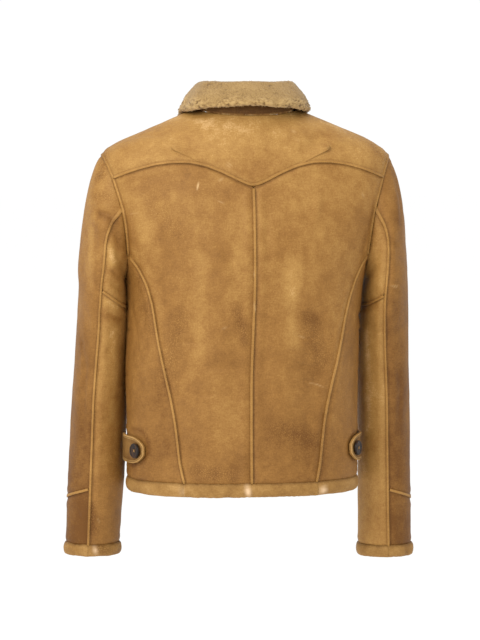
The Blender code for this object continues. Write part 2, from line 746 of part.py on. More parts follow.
def across_seam(before, after):
    """The rows of a strip that lies half on each side of a seam, from the places next to the seam."""
    return (before, STRIP_WIDTH / 2), (before, 0.0), (after, STRIP_WIDTH / 2)


def beside_seam(inner):
    """The rows of a strip that lies on one side of a seam."""
    return tuple((inner, EDGE_CLEAR + STRIP_WIDTH * share) for share in (0.0, 0.5, 1.0))


def trimmed(rows, cut):
    """Lines of points side by side with a length cut off each end, as the middle line measures it."""
    for length in cut:
        rows = [row[::-1] for row in rows]
        middle = rows[len(rows) // 2]
        while (middle[-1] - middle[-2]).length <= length:
            length -= (middle[-1] - middle[-2]).length
            rows = [row[:-1] for row in rows]
            middle = rows[len(rows) // 2]
        share = length / (middle[-1] - middle[-2]).length
        rows = [row[:-1] + [row[-1].lerp(row[-2], share)] for row in rows]
    return rows


# ---------------------------------------------------------------- the pieces

class Seams:
    """The places of every seam that two pieces share, on the left half of the body."""

    def __init__(self):
        self.yoke = yoke_seam()
        self.shoulder = shoulder_seam()
        self.back_neck = back_neck()
        self.side_back = side_seam(SIDE_BACK_SEAM, SIDE_MEETS_ARMHOLE)
        self.side_front = side_seam(SIDE_FRONT_SEAM, -SIDE_MEETS_ARMHOLE)
        self.yoke_armhole = armhole_seam(0.0, YOKE_MEETS_ARMHOLE)
        self.back_armhole = armhole_seam(YOKE_MEETS_ARMHOLE, SIDE_MEETS_ARMHOLE)
        self.front_armhole = armhole_seam(0.0, -SIDE_MEETS_ARMHOLE)
        self.underarm = armhole_seam(SIDE_MEETS_ARMHOLE, 2 * pi - SIDE_MEETS_ARMHOLE)
        self.back_side = self.back_armhole + self.side_back[1:]
        self.front_side = self.front_armhole + self.side_front[1:]
        centre = [(0.0, z) for z in evenly(YOKE_POINT_HEIGHT, HEM_SEAM_HEIGHT, FINE_STEPS)]
        self.centre_back = resampled(centre, len(self.back_side) - 1)
        self.front_edge = front_edge(len(self.front_side) - 1 - FRONT_NECK_STEPS)
        back_end, front_end = (seam[-1][0] for seam in (self.side_back, self.side_front))
        back = [(a, HEM_SEAM_HEIGHT) for a in evenly(0.0, back_end, FINE_STEPS)]
        self.hem_back = resampled(back, sum(YOKE_HALF_STEPS))
        side = [(a, HEM_SEAM_HEIGHT) for a in evenly(back_end, front_end, FINE_STEPS)]
        self.hem_side = resampled(side, len(self.underarm) - 1)
        self.hem_front = hem_line(FRONT_COLUMNS, at_back=False) + [(front_end, HEM_SEAM_HEIGHT)]


def build_body(seams, collection):
    """The yoke, the back, side and front panels, the rolled hem and the strips on the seams."""
    yoke_top = seams.shoulder + seams.back_neck[1:]
    yoke_top += other_side(yoke_top[-2::-1])
    yoke_bottom = seams.yoke[::-1] + other_side(seams.yoke[1:])
    yoke = patch(yoke_top, yoke_bottom, seams.yoke_armhole, other_side(seams.yoke_armhole))
    panel("back_yoke", yoke, body_skin, BODY_WALL, collection)

    back = patch(seams.yoke, seams.hem_back, seams.centre_back, seams.back_side)
    side = patch(seams.underarm, seams.hem_side, seams.side_back, seams.side_front)
    front = patch(seams.shoulder[::-1], seams.hem_front, seams.front_edge, seams.front_side)
    for name, turn in (("left", list), ("right", other_side)):
        front_skin = lapped_skin if name == "left" else body_skin
        panel(f"back_{name}", [turn(line) for line in back], body_skin, BODY_WALL, collection)
        panel(f"side_{name}", [turn(line) for line in side], body_skin, BODY_WALL, collection)
        panel(f"front_{name}", [turn(line) for line in front], front_skin, BODY_WALL, collection)
        for part, line, skin in (("back", seams.hem_back, body_skin), ("side", seams.hem_side, body_skin),
                                 ("front", seams.hem_front, front_skin)):
            roll(f"hem_{part}_{name}", turn(line), HEM_ROLL, skin, -HEM_ROLL_HEIGHT, collection)
        build_side_strips(name, turn, seams, (yoke, back, side, front), collection)

    half = STRIP_WIDTH / 2 + EDGE_CLEAR
    below = back[1][::-1] + other_side(back[1][1:])
    at_armhole = STRIP_WIDTH + 2 * EDGE_CLEAR
    strip("strip_yoke", yoke_bottom, across_seam(yoke[-2], below), body_skin, collection,
          (at_armhole, at_armhole))
    beside = [line[1] for line in back]
    strip("strip_centre_back", seams.centre_back, across_seam(beside, other_side(beside)), body_skin,
          collection, (half * YOKE_POINT_ROOM, EDGE_CLEAR))


def build_side_strips(name, turn, seams, grids, collection):
    """The strips on the side seams and on the body's edge at the armhole, on one side."""
    yoke, back, side, front = grids
    cut = (SIDE_STRIP_START, EDGE_CLEAR)
    back_rows = [line[-2] for line in back[-len(side):]], [line[1] for line in side]
    strip(f"strip_side_back_{name}", turn(seams.side_back), across_seam(*map(turn, back_rows)),
          body_skin, collection, cut)
    front_rows = [line[-2] for line in side], [line[-2] for line in front[-len(side):]]
    strip(f"strip_side_front_{name}", turn(seams.side_front), across_seam(*map(turn, front_rows)),
          body_skin, collection, cut)
    ring = seams.front_armhole[::-1] + seams.yoke_armhole[1:] + seams.back_armhole[1:]
    inner = [line[-2] for line in front[len(seams.front_armhole) - 1::-1]] + [line[1] for line in yoke[1:]]
    inner += [line[-2] for line in back[1:len(seams.back_armhole)]]
    strip(f"strip_armhole_{name}", turn(ring), beside_seam(turn(inner)), body_skin, collection,
          (EDGE_CLEAR, EDGE_CLEAR))


def sleeve_cuts():
    """The angles round a sleeve from its front seam over the top to its back seam, and on to the front."""
    cuts = in_steps(ARMHOLE_STEPS)
    top = [cut for cut in cuts if cut <= SLEEVE_SEAM_ANGLE + 1e-9]
    under = [cut for cut in cuts if cut >= SLEEVE_SEAM_ANGLE - 1e-9]
    return [-cut for cut in top[:0:-1]] + top, under + [2 * pi - cut for cut in under[-2::-1]]


def cuff_seam_down(angle):
    """The distance down the sleeve of the seam above the cuff panel: lowest at the outer side."""
    return CUFF_SEAM_DOWN + CUFF_SEAM_DIP * (1 - abs(angle) / SLEEVE_SEAM_ANGLE)


def build_sleeve(name, side, collection):
    """One sleeve: its top, two under pieces, cuff panel, rolled cuff and the strips on its seams."""
    skin = sleeve_skin_on(side)
    top, under = sleeve_cuts()
    downs = in_steps(SLEEVE_STEPS)
    above = [down for down in downs if down <= CUFF_SEAM_DOWN + 1e-9]
    upper = [down for down in downs if down <= ELBOW_SEAM_DOWN + 1e-9]
    lower = [down for down in downs if down >= ELBOW_SEAM_DOWN - 1e-9]
    below = [down for down in downs if down >= CUFF_SEAM_DOWN - 1e-9]
    cuff_seam = [(angle, cuff_seam_down(angle)) for angle in top]

    def piece(label, angles, lengths, top_line=None, bottom_line=None):
        first, last = ([(angle, down) for down in lengths] for angle in (angles[0], angles[-1]))
        top_line = top_line or [(angle, lengths[0]) for angle in angles]
        bottom_line = bottom_line or [(angle, lengths[-1]) for angle in angles]
        grid = patch(top_line, bottom_line, first, last)
        panel(f"{label}_{name}", grid, skin, SLEEVE_WALL, collection)
        return grid

    top_grid = piece("top_sleeve", top, above, bottom_line=cuff_seam)
    cuff_grid = piece("cuff_panel", top, below, top_line=cuff_seam)
    upper_grid = piece("under_sleeve_upper", under, upper)
    lower_grid = piece("under_sleeve_lower", under, lower)
    for label, angles in (("outer", top), ("inner", under)):
        line = [(angle, CUFF_ROLL_START) for angle in angles]
        roll(f"cuff_roll_{label}_{name}", line, CUFF_ROLL, skin, CUFF_ROLL_HEIGHT, collection)

    outer_rows, inner_rows = top_grid + cuff_grid[1:], upper_grid + lower_grid[1:]
    half = STRIP_WIDTH / 2 + SLANT_CLEAR
    for label, last, outer, inner in (("back", top[-1], -2, 1), ("front", top[0], 1, -2)):
        rows = across_seam([line[outer] for line in outer_rows], [line[inner] for line in inner_rows])
        strip(f"strip_sleeve_{label}_{name}", [(last, down) for down in downs], rows, skin, collection,
              (SLEEVE_STRIP_START, EDGE_CLEAR))
    strip(f"strip_elbow_{name}", upper_grid[-1], across_seam(upper_grid[-2], lower_grid[1]), skin,
          collection, (half, half))
    strip(f"strip_cuff_{name}", cuff_seam, across_seam(top_grid[-2], cuff_grid[1]), skin,
          collection, (half, half))


def neck_ring(seams):
    """Points round the neckline, from the middle of the back to the front, on the panels' straight edges."""
    places = seams.back_neck[::-1] + seams.front_edge[1:FRONT_NECK_STEPS + 1]
    corners = [body_point(*place) for place in places]
    ring = [corners[0]]
    for before, after in zip(corners, corners[1:]):
        ring += [before.lerp(after, share) for share in evenly(0.0, 1.0, COLLAR_CUTS)[1:]]
    while ring[-2].x < COLLAR_END_GAP / 2:
        ring.pop()
    ring[-1] = ring[-2].lerp(ring[-1], (ring[-2].x - COLLAR_END_GAP / 2) / (ring[-2].x - ring[-1].x))
    return ring


def collar_size(share, name):
    """A size of the collar at a share of the way round to the front."""
    return smooth_value(column(COLLAR_STATIONS, "share"), column(COLLAR_STATIONS, name), share)


def collar_profile(point, outward, share):
    """The middle line of the folded wall at one station, as distances out from and up from the neck seam."""
    stand, lean, rise = (collar_size(share, name) for name in ("stand", "lean", "edge_height"))
    room = collar_size(share, "room")
    start = -COLLAR_WALL / 2
    fold_out, fold_up = lean + start + COLLAR_FOLD_RADIUS, stand - COLLAR_FOLD_RADIUS
    profile = [(start, LAY_ON_GAP), (start + lean * STAND_BEND_LEAN, fold_up * STAND_BEND_RISE)]
    profile += [(fold_out - COLLAR_FOLD_RADIUS * cos(turn), fold_up + COLLAR_FOLD_RADIUS * sin(turn))
                for turn in evenly(0.0, COLLAR_FOLD_TURN, COLLAR_FOLD_STEPS)]
    top_out, top_up = profile[-1]
    reach = collar_size(share, "reach")
    for step in range(1, COLLAR_FALL_STEPS + 1):
        part = step / COLLAR_FALL_STEPS
        out = top_out + (reach - top_out) * part + COLLAR_FALL_SWELL * sin(pi * part)
        up = top_up + (rise - top_up) * part
        while body_room(point + outward * out + UP * up) < room + COLLAR_WALL / 2:
            out += FALL_PUSH
        profile.append((out, up))
    return profile


def build_collar(seams, collection):
    """The collar: a stand that rises from the neckline and a fall folded out over it, in one wall."""
    ring = neck_ring(seams)
    stations = []
    for number, point in enumerate(ring):
        before, after = ring[max(number - 1, 0)], ring[min(number + 1, len(ring) - 1)]
        along = after - before
        if number == 0:
            along = Vector((1.0, 0.0, 0.0))
        outward = UP.cross(Vector((along.x, along.y, 0.0))).normalized()
        profile = collar_profile(point, outward, number / (len(ring) - 1))
        stations.append((point, outward, profile))
    faces = []
    for offset in (COLLAR_WALL / 2, -COLLAR_WALL / 2):
        half = [[point + outward * out + UP * up for out, up in thickened(profile, offset)]
                for point, outward, profile in stations]
        faces.append([[mirrored(point, -1) for point in line] for line in half[:0:-1]] + half)
    wall("collar", *faces, WOOL, collection)


def thickened(profile, offset):
    """A flat line moved to its left by a distance, square to itself."""
    moved = []
    for number, (out, up) in enumerate(profile):
        before, after = profile[max(number - 1, 0)], profile[min(number + 1, len(profile) - 1)]
        run, climb = after[0] - before[0], after[1] - before[1]
        length = (run * run + climb * climb) ** 0.5
        moved.append((out - climb / length * offset, up + run / length * offset))
    return moved


def tab_place(share, across, side):
    """A place on the body at a share of the tab's length and a share of its half width."""
    height = TAB_HEIGHT + across * TAB_HALF_WIDTH
    angle = angle_from_depth(TAB_FRONT_Y + (TAB_BACK_Y - TAB_FRONT_Y) * share, height)
    return side * angle, height


def build_tab(name, side, collection):
    """A waist tab with a round end, and its button."""
    faces = []
    for out in (LAY_ON_GAP + TAB_THICKNESS, LAY_ON_GAP):
        faces.append([[body_skin(tab_place(station.share, across * station.width, side), out)
                       for across in evenly(-1.0, 1.0, TAB_STEPS_ACROSS)] for station in TAB_OUTLINE])
    wall(f"tab_{name}", *faces, HIDE, collection)
    seat = tab_place(TAB_BUTTON_SHARE, 0.0, side)
    place_button(f"tab_button_{name}", seat, body_skin, LAY_ON_GAP + TAB_THICKNESS, collection)


def button_shape():
    """A round horn button with a raised rim and a dished face, resting on its origin and facing up."""
    shape = bmesh.new()
    bmesh.ops.create_cone(shape, cap_ends=True, segments=BUTTON_SIDES, radius1=BUTTON_RADIUS,
                          radius2=BUTTON_RADIUS, depth=BUTTON_THICKNESS)
    bmesh.ops.translate(shape, verts=shape.verts[:], vec=UP * (BUTTON_THICKNESS / 2))
    top = max(shape.faces, key=lambda face: face.calc_center_median().z)
    rim = bmesh.ops.inset_region(shape, faces=[top], thickness=BUTTON_RIM, use_even_offset=True)
    bmesh.ops.translate(shape, verts=top.verts[:], vec=UP * -BUTTON_DISH)
    outer = {edge for face in rim["faces"] for edge in face.edges if edge not in set(top.edges)}
    shoulder = [edge for edge in outer if all(abs(c.co.z - BUTTON_THICKNESS) < 1e-6 for c in edge.verts)
                and all(abs(c.co.xy.length - BUTTON_RADIUS) < 1e-5 for c in edge.verts)]
    bmesh.ops.bevel(shape, geom=shoulder, offset=BUTTON_ROUNDING, segments=1, affect="EDGES", profile=0.5)
    return shape


def place_button(name, place, skin, out, collection):
    """A button seated on a form, square to it."""
    seat = skin(place, out + BUTTON_SEAT)
    way = (skin(place, out + PROBE) - skin(place, out)).normalized()
    made = as_object(name, button_shape(), HORN, collection)
    made.matrix_world = Matrix.Translation(seat) @ way.to_track_quat("Z", "Y").to_matrix().to_4x4()


def main():
    """Clears the scene and builds the jacket."""
    for leftover in list(bpy.data.objects):
        bpy.data.objects.remove(leftover)
    collection = bpy.data.collections.new("western shearling jacket")
    bpy.context.scene.collection.children.link(collection)
    seams = Seams()
    build_body(seams, collection)
    build_collar(seams, collection)
    for name, side in (("left", 1), ("right", -1)):
        build_sleeve(name, side, collection)
        build_tab(name, side, collection)
    for number, height in enumerate(FRONT_BUTTON_HEIGHTS, 1):
        place_button(f"front_button_{number}", (pi, height), lapped_skin, 0.0, collection)


main()
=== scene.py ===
"""Looks of a worn, western-cut sheepskin jacket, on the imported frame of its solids.

Every soft solid is replaced by a finer piece grown from it. The wall is rounded and subdivided, one shared relief
puts its folds and creases in, its seams are pulled in, and it gets hide outside and clipped wool inside. Metres,
+Z up. The back of the jacket faces +Y and the wearer's left is +X.
"""

import logging
from dataclasses import dataclass, field
from enum import Enum
from math import cos, hypot, pi, radians, sin
from typing import Sequence

import bmesh
import bpy
import numpy as np
from mathutils import Matrix, Vector
from mathutils.bvhtree import BVHTree


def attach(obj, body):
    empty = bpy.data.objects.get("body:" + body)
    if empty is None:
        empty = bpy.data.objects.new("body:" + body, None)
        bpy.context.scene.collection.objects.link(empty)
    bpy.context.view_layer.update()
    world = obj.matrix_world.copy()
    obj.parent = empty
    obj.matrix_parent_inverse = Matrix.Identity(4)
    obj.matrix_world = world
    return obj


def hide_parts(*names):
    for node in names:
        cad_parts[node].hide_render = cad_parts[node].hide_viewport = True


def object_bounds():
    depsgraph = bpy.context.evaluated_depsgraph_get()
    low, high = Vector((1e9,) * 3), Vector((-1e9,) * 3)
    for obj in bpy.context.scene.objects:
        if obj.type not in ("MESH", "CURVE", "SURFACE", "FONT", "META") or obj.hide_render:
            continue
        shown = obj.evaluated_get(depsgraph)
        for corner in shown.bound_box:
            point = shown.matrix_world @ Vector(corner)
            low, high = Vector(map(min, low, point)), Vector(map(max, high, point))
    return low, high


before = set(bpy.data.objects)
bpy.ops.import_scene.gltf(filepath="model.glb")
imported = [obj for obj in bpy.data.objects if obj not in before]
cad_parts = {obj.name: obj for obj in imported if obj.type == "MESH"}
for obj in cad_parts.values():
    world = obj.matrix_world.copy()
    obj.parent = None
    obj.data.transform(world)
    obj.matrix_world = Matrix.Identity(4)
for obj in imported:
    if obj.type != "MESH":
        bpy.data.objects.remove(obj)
CAD_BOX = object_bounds()

log = logging.getLogger("jacket")

BODY = "root"
MM = 0.001
UP = Vector((0.0, 0.0, 1.0))
SIDES = ("left", "right")

# How a solid's triangles are made quads again, and which of its edges are rims.
WELD = 0.02 * MM
JOIN_ANGLE = radians(35)
SHAPE_ANGLE = radians(80)
RIM_ANGLE = radians(48)


class Region(Enum):
    """The hollow form that a piece wraps round."""

    TRUNK = "trunk"
    SLEEVE_LEFT = "sleeve_left"
    SLEEVE_RIGHT = "sleeve_right"


class Slot(Enum):
    """The record's material slots."""

    HIDE = "hide"
    WOOL = "wool"
    HORN = "horn"


class Mark(Enum):
    """What a stroke of colour is."""

    SCAR = "scar"
    # Clouds of the hide's own colour, and with them painted shade in creases and folds and painted light on raised and
    # lit places.
    BLOTCH = "blotch"
    PEBBLE = "pebble"


# ------------------------------------------------------------------ meshes and numbers


def linear(colour: str) -> tuple[float, float, float, float]:
    """Turns an sRGB hex colour into the linear one that shaders use.

    Args:
        colour: Six hex digits.

    Returns:
        Red, green, blue and an alpha of one.
    """
    parts = [int(colour[i : i + 2], 16) / 255 for i in (0, 2, 4)]
    red, green, blue = (c / 12.92 if c <= 0.04045 else ((c + 0.055) / 1.055) ** 2.4 for c in parts)
    return red, green, blue, 1.0


def smooth_step(value: np.ndarray) -> np.ndarray:
    """Rises smoothly from 0 at 0 to 1 at 1."""
    value = np.clip(value, 0.0, 1.0)
    return value * value * (3 - 2 * value)


def lattice_noise(points: np.ndarray, size: float, seed: int) -> np.ndarray:
    """Smooth noise from -1 to 1.

    Args:
        points: One row a point.
        size: The distance over which it changes, in metres.
        seed: Which noise it is.

    Returns:
        One number a point.
    """
    cell = points / size + seed * 17.31
    base = np.floor(cell)
    share = smooth_step(cell - base)
    total = np.zeros(len(points))
    for corner in np.ndindex(2, 2, 2):
        weight = np.prod(np.where(corner, share, 1 - share), axis=1)
        total += weight * _hashed(base + corner)
    return total * 2 - 1


def _hashed(cells: np.ndarray) -> np.ndarray:
    """A number from 0 to 1 for each whole-number cell."""
    mixed = np.sin(cells @ np.array([12.9898, 78.233, 37.719])) * 43758.5453
    return mixed - np.floor(mixed)


def clump_noise(points: np.ndarray, size: float, seed: int) -> np.ndarray:
    """How near each point is to the middle of its clump: 1 in the middle, 0 where clumps meet.

    Args:
        points: One row a point.
        size: The clumps' spacing in metres.
        seed: Which clumps they are.

    Returns:
        One number a point.
    """
    cell = points / size + seed * 11.73
    base = np.floor(cell)
    nearest = np.full(len(points), 9.0)
    for step in np.ndindex(3, 3, 3):
        corner = base + np.array(step) - 1
        middle = corner + np.stack([_hashed(corner + shift) for shift in (0.0, 31.4, 59.7)], axis=1)
        nearest = np.minimum(nearest, ((cell - middle) ** 2).sum(axis=1))
    return np.clip(1 - nearest, 0.0, 1.0)


def path_distance(points: np.ndarray, path: np.ndarray) -> tuple[np.ndarray, np.ndarray, np.ndarray]:
    """How far points lie from a path, and where along it.

    Args:
        points: One row a point.
        path: The path's corners.

    Returns:
        The distances, the shares of the path's length from 0 to 1, and the nearest places on the path.
    """
    lengths = np.linalg.norm(np.diff(path, axis=0), axis=1)
    starts = np.concatenate([[0.0], np.cumsum(lengths)])
    nearest = np.full(len(points), np.inf)
    share = np.zeros(len(points))
    places = np.zeros((len(points), 3))
    for start, end, before, length in zip(path, path[1:], starts, lengths):
        along = np.clip((points - start) @ (end - start) / length**2, 0.0, 1.0)
        place = start + along[:, None] * (end - start)
        away = np.linalg.norm(points - place, axis=1)
        closer = away < nearest
        nearest[closer] = away[closer]
        places[closer] = place[closer]
        share[closer] = (before + along[closer] * length) / starts[-1]
    return nearest, share, places


def cad_mesh(node: str) -> bmesh.types.BMesh:
    """A solid's mesh as an edit mesh, with its corners joined and its triangles made quads.

    Args:
        node: The solid's name.

    Returns:
        The edit mesh, which the caller frees.
    """
    work = bmesh.new()
    work.from_mesh(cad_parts[node].data)
    bmesh.ops.remove_doubles(work, verts=work.verts, dist=WELD)
    bmesh.ops.recalc_face_normals(work, faces=work.faces)
    bmesh.ops.join_triangles(
        work, faces=work.faces, angle_face_threshold=JOIN_ANGLE, angle_shape_threshold=SHAPE_ANGLE
    )
    return work


def smooth_groups(work: bmesh.types.BMesh) -> list[list[bmesh.types.BMFace]]:
    """Groups the faces that no rim parts, from the smallest group to the largest.

    Args:
        work: An edit mesh.

    Returns:
        Lists of faces, in order of their areas.
    """
    groups, seen = [], set()
    for first in work.faces:
        if first in seen:
            continue
        seen.add(first)
        group, waiting = [], [first]
        while waiting:
            face = waiting.pop()
            group.append(face)
            joins = [edge for edge in face.edges if edge.calc_face_angle(pi) < RIM_ANGLE]
            fresh = {other for edge in joins for other in edge.link_faces} - seen
            seen |= fresh
            waiting += fresh
        groups.append(group)
    return sorted(groups, key=lambda group: sum(face.calc_area() for face in group))


def rings_of(work: bmesh.types.BMesh) -> list[list[bmesh.types.BMVert]]:
    """The rings of corners of a long piece, from one of its ends to the other.

    Args:
        work: Its edit mesh.

    Returns:
        One list of corners a ring.
    """
    ring = {vertex for face in smooth_groups(work)[0] for vertex in face.verts}
    rings, seen = [], set()
    while ring:
        rings.append(sorted(ring, key=lambda vertex: vertex.index))
        seen |= ring
        ring = {edge.other_vert(vertex) for vertex in ring for edge in vertex.link_edges} - seen
    return rings


def cad_points(node: str) -> np.ndarray:
    """The corners of a solid, one row each."""
    return points_of(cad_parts[node].data)


def vertex_rows(mesh: bpy.types.Mesh, what: str) -> np.ndarray:
    """Three numbers of each of a mesh's vertices.

    Args:
        mesh: The mesh.
        what: Blender's name for them, co or normal.

    Returns:
        One row a vertex.
    """
    flat = np.empty(len(mesh.vertices) * 3)
    mesh.vertices.foreach_get(what, flat)
    return flat.reshape(-1, 3)


def points_of(mesh: bpy.types.Mesh) -> np.ndarray:
    """A mesh's vertices, one row each."""
    return vertex_rows(mesh, "co")


def normals_of(mesh: bpy.types.Mesh) -> np.ndarray:
    """A mesh's vertex normals, one row each."""
    return vertex_rows(mesh, "normal")


def move_points(mesh: bpy.types.Mesh, points: np.ndarray) -> None:
    """Puts a mesh's vertices at these places."""
    mesh.vertices.foreach_set("co", points.astype(np.float32).ravel())
    mesh.update()


def paint(mesh: bpy.types.Mesh, name: str, values: np.ndarray) -> None:
    """Stores one number a vertex, for the materials to read.

    Args:
        mesh: The mesh.
        name: The attribute's name.
        values: One number for each vertex.
    """
    layer = mesh.attributes.new(name, "FLOAT", "POINT")
    layer.data.foreach_set("value", values.astype(np.float32))


def tree_of(nodes: Sequence[str]) -> BVHTree:
    """A search tree over the faces of solids.

    Args:
        nodes: The solids' names.

    Returns:
        One tree of them all.
    """
    corners: list[Vector] = []
    faces: list[list[int]] = []
    for node in nodes:
        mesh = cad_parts[node].data
        start = len(corners)
        corners += [vertex.co.copy() for vertex in mesh.vertices]
        faces += [[start + number for number in polygon.vertices] for polygon in mesh.polygons]
    return BVHTree.FromPolygons(corners, faces)


def nearest_on(tree: BVHTree, points: np.ndarray, within: float) -> tuple[np.ndarray, np.ndarray]:
    """The nearest places to points on the faces in a tree.

    Args:
        tree: The search tree.
        points: One row a point.
        within: The most that is measured, which is given where nothing is nearer.

    Returns:
        One distance a point, and the ways from those places to the points.
    """
    far = np.full(len(points), within)
    ways = np.zeros((len(points), 3))
    for number, point in enumerate(points):
        place, _, _, distance = tree.find_nearest(Vector(point), within)
        if place is not None:
            far[number] = distance
            ways[number] = point - place
    return far, ways


def link(name: str, mesh: bpy.types.Mesh) -> bpy.types.Object:
    """Makes an object of a mesh, in the scene.

    Args:
        name: The object's name.
        mesh: Its mesh.

    Returns:
        The object.
    """
    made = bpy.data.objects.new(name, mesh)
    bpy.context.scene.collection.objects.link(made)
    return made


def grown(
    name: str, work: bmesh.types.BMesh, levels: int, rim_crease: float, square_ends: bool = False
) -> bpy.types.Object:
    """Makes a finer piece from an edit mesh. Its two sheets' faces get material 0 and 1, and its rims' get 2.

    Args:
        name: The new piece's name.
        work: The edit mesh that it grows from, which is freed.
        levels: How often it is subdivided.
        rim_crease: How sharp its rims stay, from 0 to 1.
        square_ends: Whether the rims of its two ends stay quite sharp.

    Returns:
        The piece, with no modifier left.
    """
    crease = work.edges.layers.float.new("crease_edge")
    for edge in work.edges:
        if edge.calc_face_angle(0.0) > RIM_ANGLE:
            edge[crease] = rim_crease
    groups = smooth_groups(work)
    for group in groups[:2] if square_ends else []:
        inside = set(group)
        for face in group:
            for edge in face.edges:
                if not set(edge.link_faces) <= inside:
                    edge[crease] = 1.0
    for number, group in enumerate(reversed(groups)):
        for face in group:
            face.material_index = min(number, 2)
    coarse = bpy.data.meshes.new(name + "_coarse")
    work.to_mesh(coarse)
    work.free()
    piece = link(name, coarse)
    finer = piece.modifiers.new("finer", "SUBSURF")
    finer.levels = levels
    finer.render_levels = levels
    graph = bpy.context.evaluated_depsgraph_get()
    done = bpy.data.meshes.new_from_object(piece.evaluated_get(graph))
    piece.modifiers.remove(finer)
    piece.data = done
    done.name = name
    bpy.data.meshes.remove(coarse)
    done.shade_smooth()
    return piece


def joined(name: str, shape: bmesh.types.BMesh, places: np.ndarray, turns: np.ndarray) -> bpy.types.Object:
    """Makes one mesh of many copies of a small shape.

    Args:
        name: The new piece's name.
        shape: The small shape, which is freed.
        places: One row a copy.
        turns: One 3 by 3 matrix a copy, whose columns are where its axes point, with their scale.

    Returns:
        The piece.
    """
    corners = np.array([vertex.co for vertex in shape.verts])
    faces = [[vertex.index for vertex in face.verts] for face in shape.faces]
    shape.free()
    spread = np.einsum("nij,kj->nki", turns, corners) + places[:, None, :]
    sizes = np.array([len(face) for face in faces])
    flat = np.concatenate([np.array(face) for face in faces])
    steps = np.arange(len(places))[:, None] * len(corners)
    mesh = bpy.data.meshes.new(name)
    mesh.vertices.add(len(places) * len(corners))
    mesh.vertices.foreach_set("co", spread.astype(np.float32).ravel())
    mesh.loops.add(len(places) * len(flat))
    mesh.loops.foreach_set("vertex_index", (flat[None, :] + steps).astype(np.int32).ravel())
    mesh.polygons.add(len(places) * len(faces))
    starts = np.concatenate([[0], np.cumsum(np.tile(sizes, len(places)))[:-1]])
    mesh.polygons.foreach_set("loop_start", starts.astype(np.int32))
    mesh.update(calc_edges=True)
    mesh.shade_smooth()
    return link(name, mesh)


def dress(
    piece: bpy.types.Object, materials: Sequence[bpy.types.Material], nodes: Sequence[str] = ()
) -> None:
    """Gives a piece its materials, its body and the solids that it stands for.

    Args:
        piece: The finished piece.
        materials: Its materials, in the order that its faces name them.
        nodes: The solids it replaces.
    """
    for material in materials:
        piece.data.materials.append(material)
    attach(piece, BODY)
    if nodes:
        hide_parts(*nodes)
    log.info("%s: %d triangles", piece.name, sum(len(p.vertices) - 2 for p in piece.data.polygons))


# ------------------------------------------------------------------ the photograph's camera


@dataclass(frozen=True)
class PhotoView:
    """The camera of the photograph: angles in degrees, lengths in metres, its lens and sensor in millimetres."""

    azimuth: float = 173.0
    elevation: float = 4.2
    distance: float = 5.0
    aim: tuple[float, float, float] = (0.0085, 0.0, -0.324)
    lens: float = 175.0
    sensor: float = 36.0
    wide: int = 480
    high: int = 640

    def away(self) -> Vector:
        """The way from what the camera aims at to the camera."""
        turn, tilt = radians(self.azimuth), radians(self.elevation)
        return Vector((sin(turn) * cos(tilt), -cos(turn) * cos(tilt), sin(tilt)))

    def eye(self) -> Vector:
        """Where the camera stands."""
        return Vector(self.aim) + self.away() * self.distance

    def ray(self, x: float, y: float) -> Vector:
        """The way that the camera sees a pixel.

        Args:
            x: Pixels from the photograph's left edge.
            y: Pixels from its top edge.

        Returns:
            A unit vector.
        """
        ahead = -self.away()
        right = ahead.cross(UP).normalized()
        above = right.cross(ahead)
        pixel = self.sensor / self.lens / self.high
        return (ahead + right * (x - self.wide / 2) * pixel + above * (self.high / 2 - y) * pixel).normalized()

    def make_camera(self) -> None:
        """Makes the scene's camera."""
        lens = bpy.data.cameras.new("camera")
        lens.lens = self.lens
        lens.sensor_fit = "VERTICAL"
        lens.sensor_height = self.sensor
        camera = bpy.data.objects.new("camera", lens)
        camera.location = self.eye()
        camera.rotation_euler = (-self.away()).to_track_quat("-Z", "Y").to_euler()
        bpy.context.scene.collection.objects.link(camera)
        bpy.context.scene.camera = camera


# ------------------------------------------------------------------ folds, creases and marks


@dataclass(frozen=True)
class Crease:
    """A soft trough or ridge that the photograph shows.

    Its path is a row of the photograph's pixels. Its depth, over 0 for a ridge, and its half width are in mm.
    """

    path: tuple[tuple[float, float], ...]
    depth: float
    half_width: float


@dataclass(frozen=True)
class FarCrease:
    """A soft trough or ridge on a side that the photograph hides.

    Its path is a row of places on a form: degrees round it from the back, over the wearer's left, and mm down from
    the base of the neck. Its depth, over 0 for a ridge, and its half width are in mm.
    """

    region: Region
    path: tuple[tuple[float, float], ...]
    depth: float
    half_width: float


@dataclass(frozen=True)
class Stroke:
    """A stroke of colour that the photograph shows: a path of pixels, a half width in mm and a strength."""

    kind: Mark
    path: tuple[tuple[float, float], ...]
    half_width: float
    strength: float


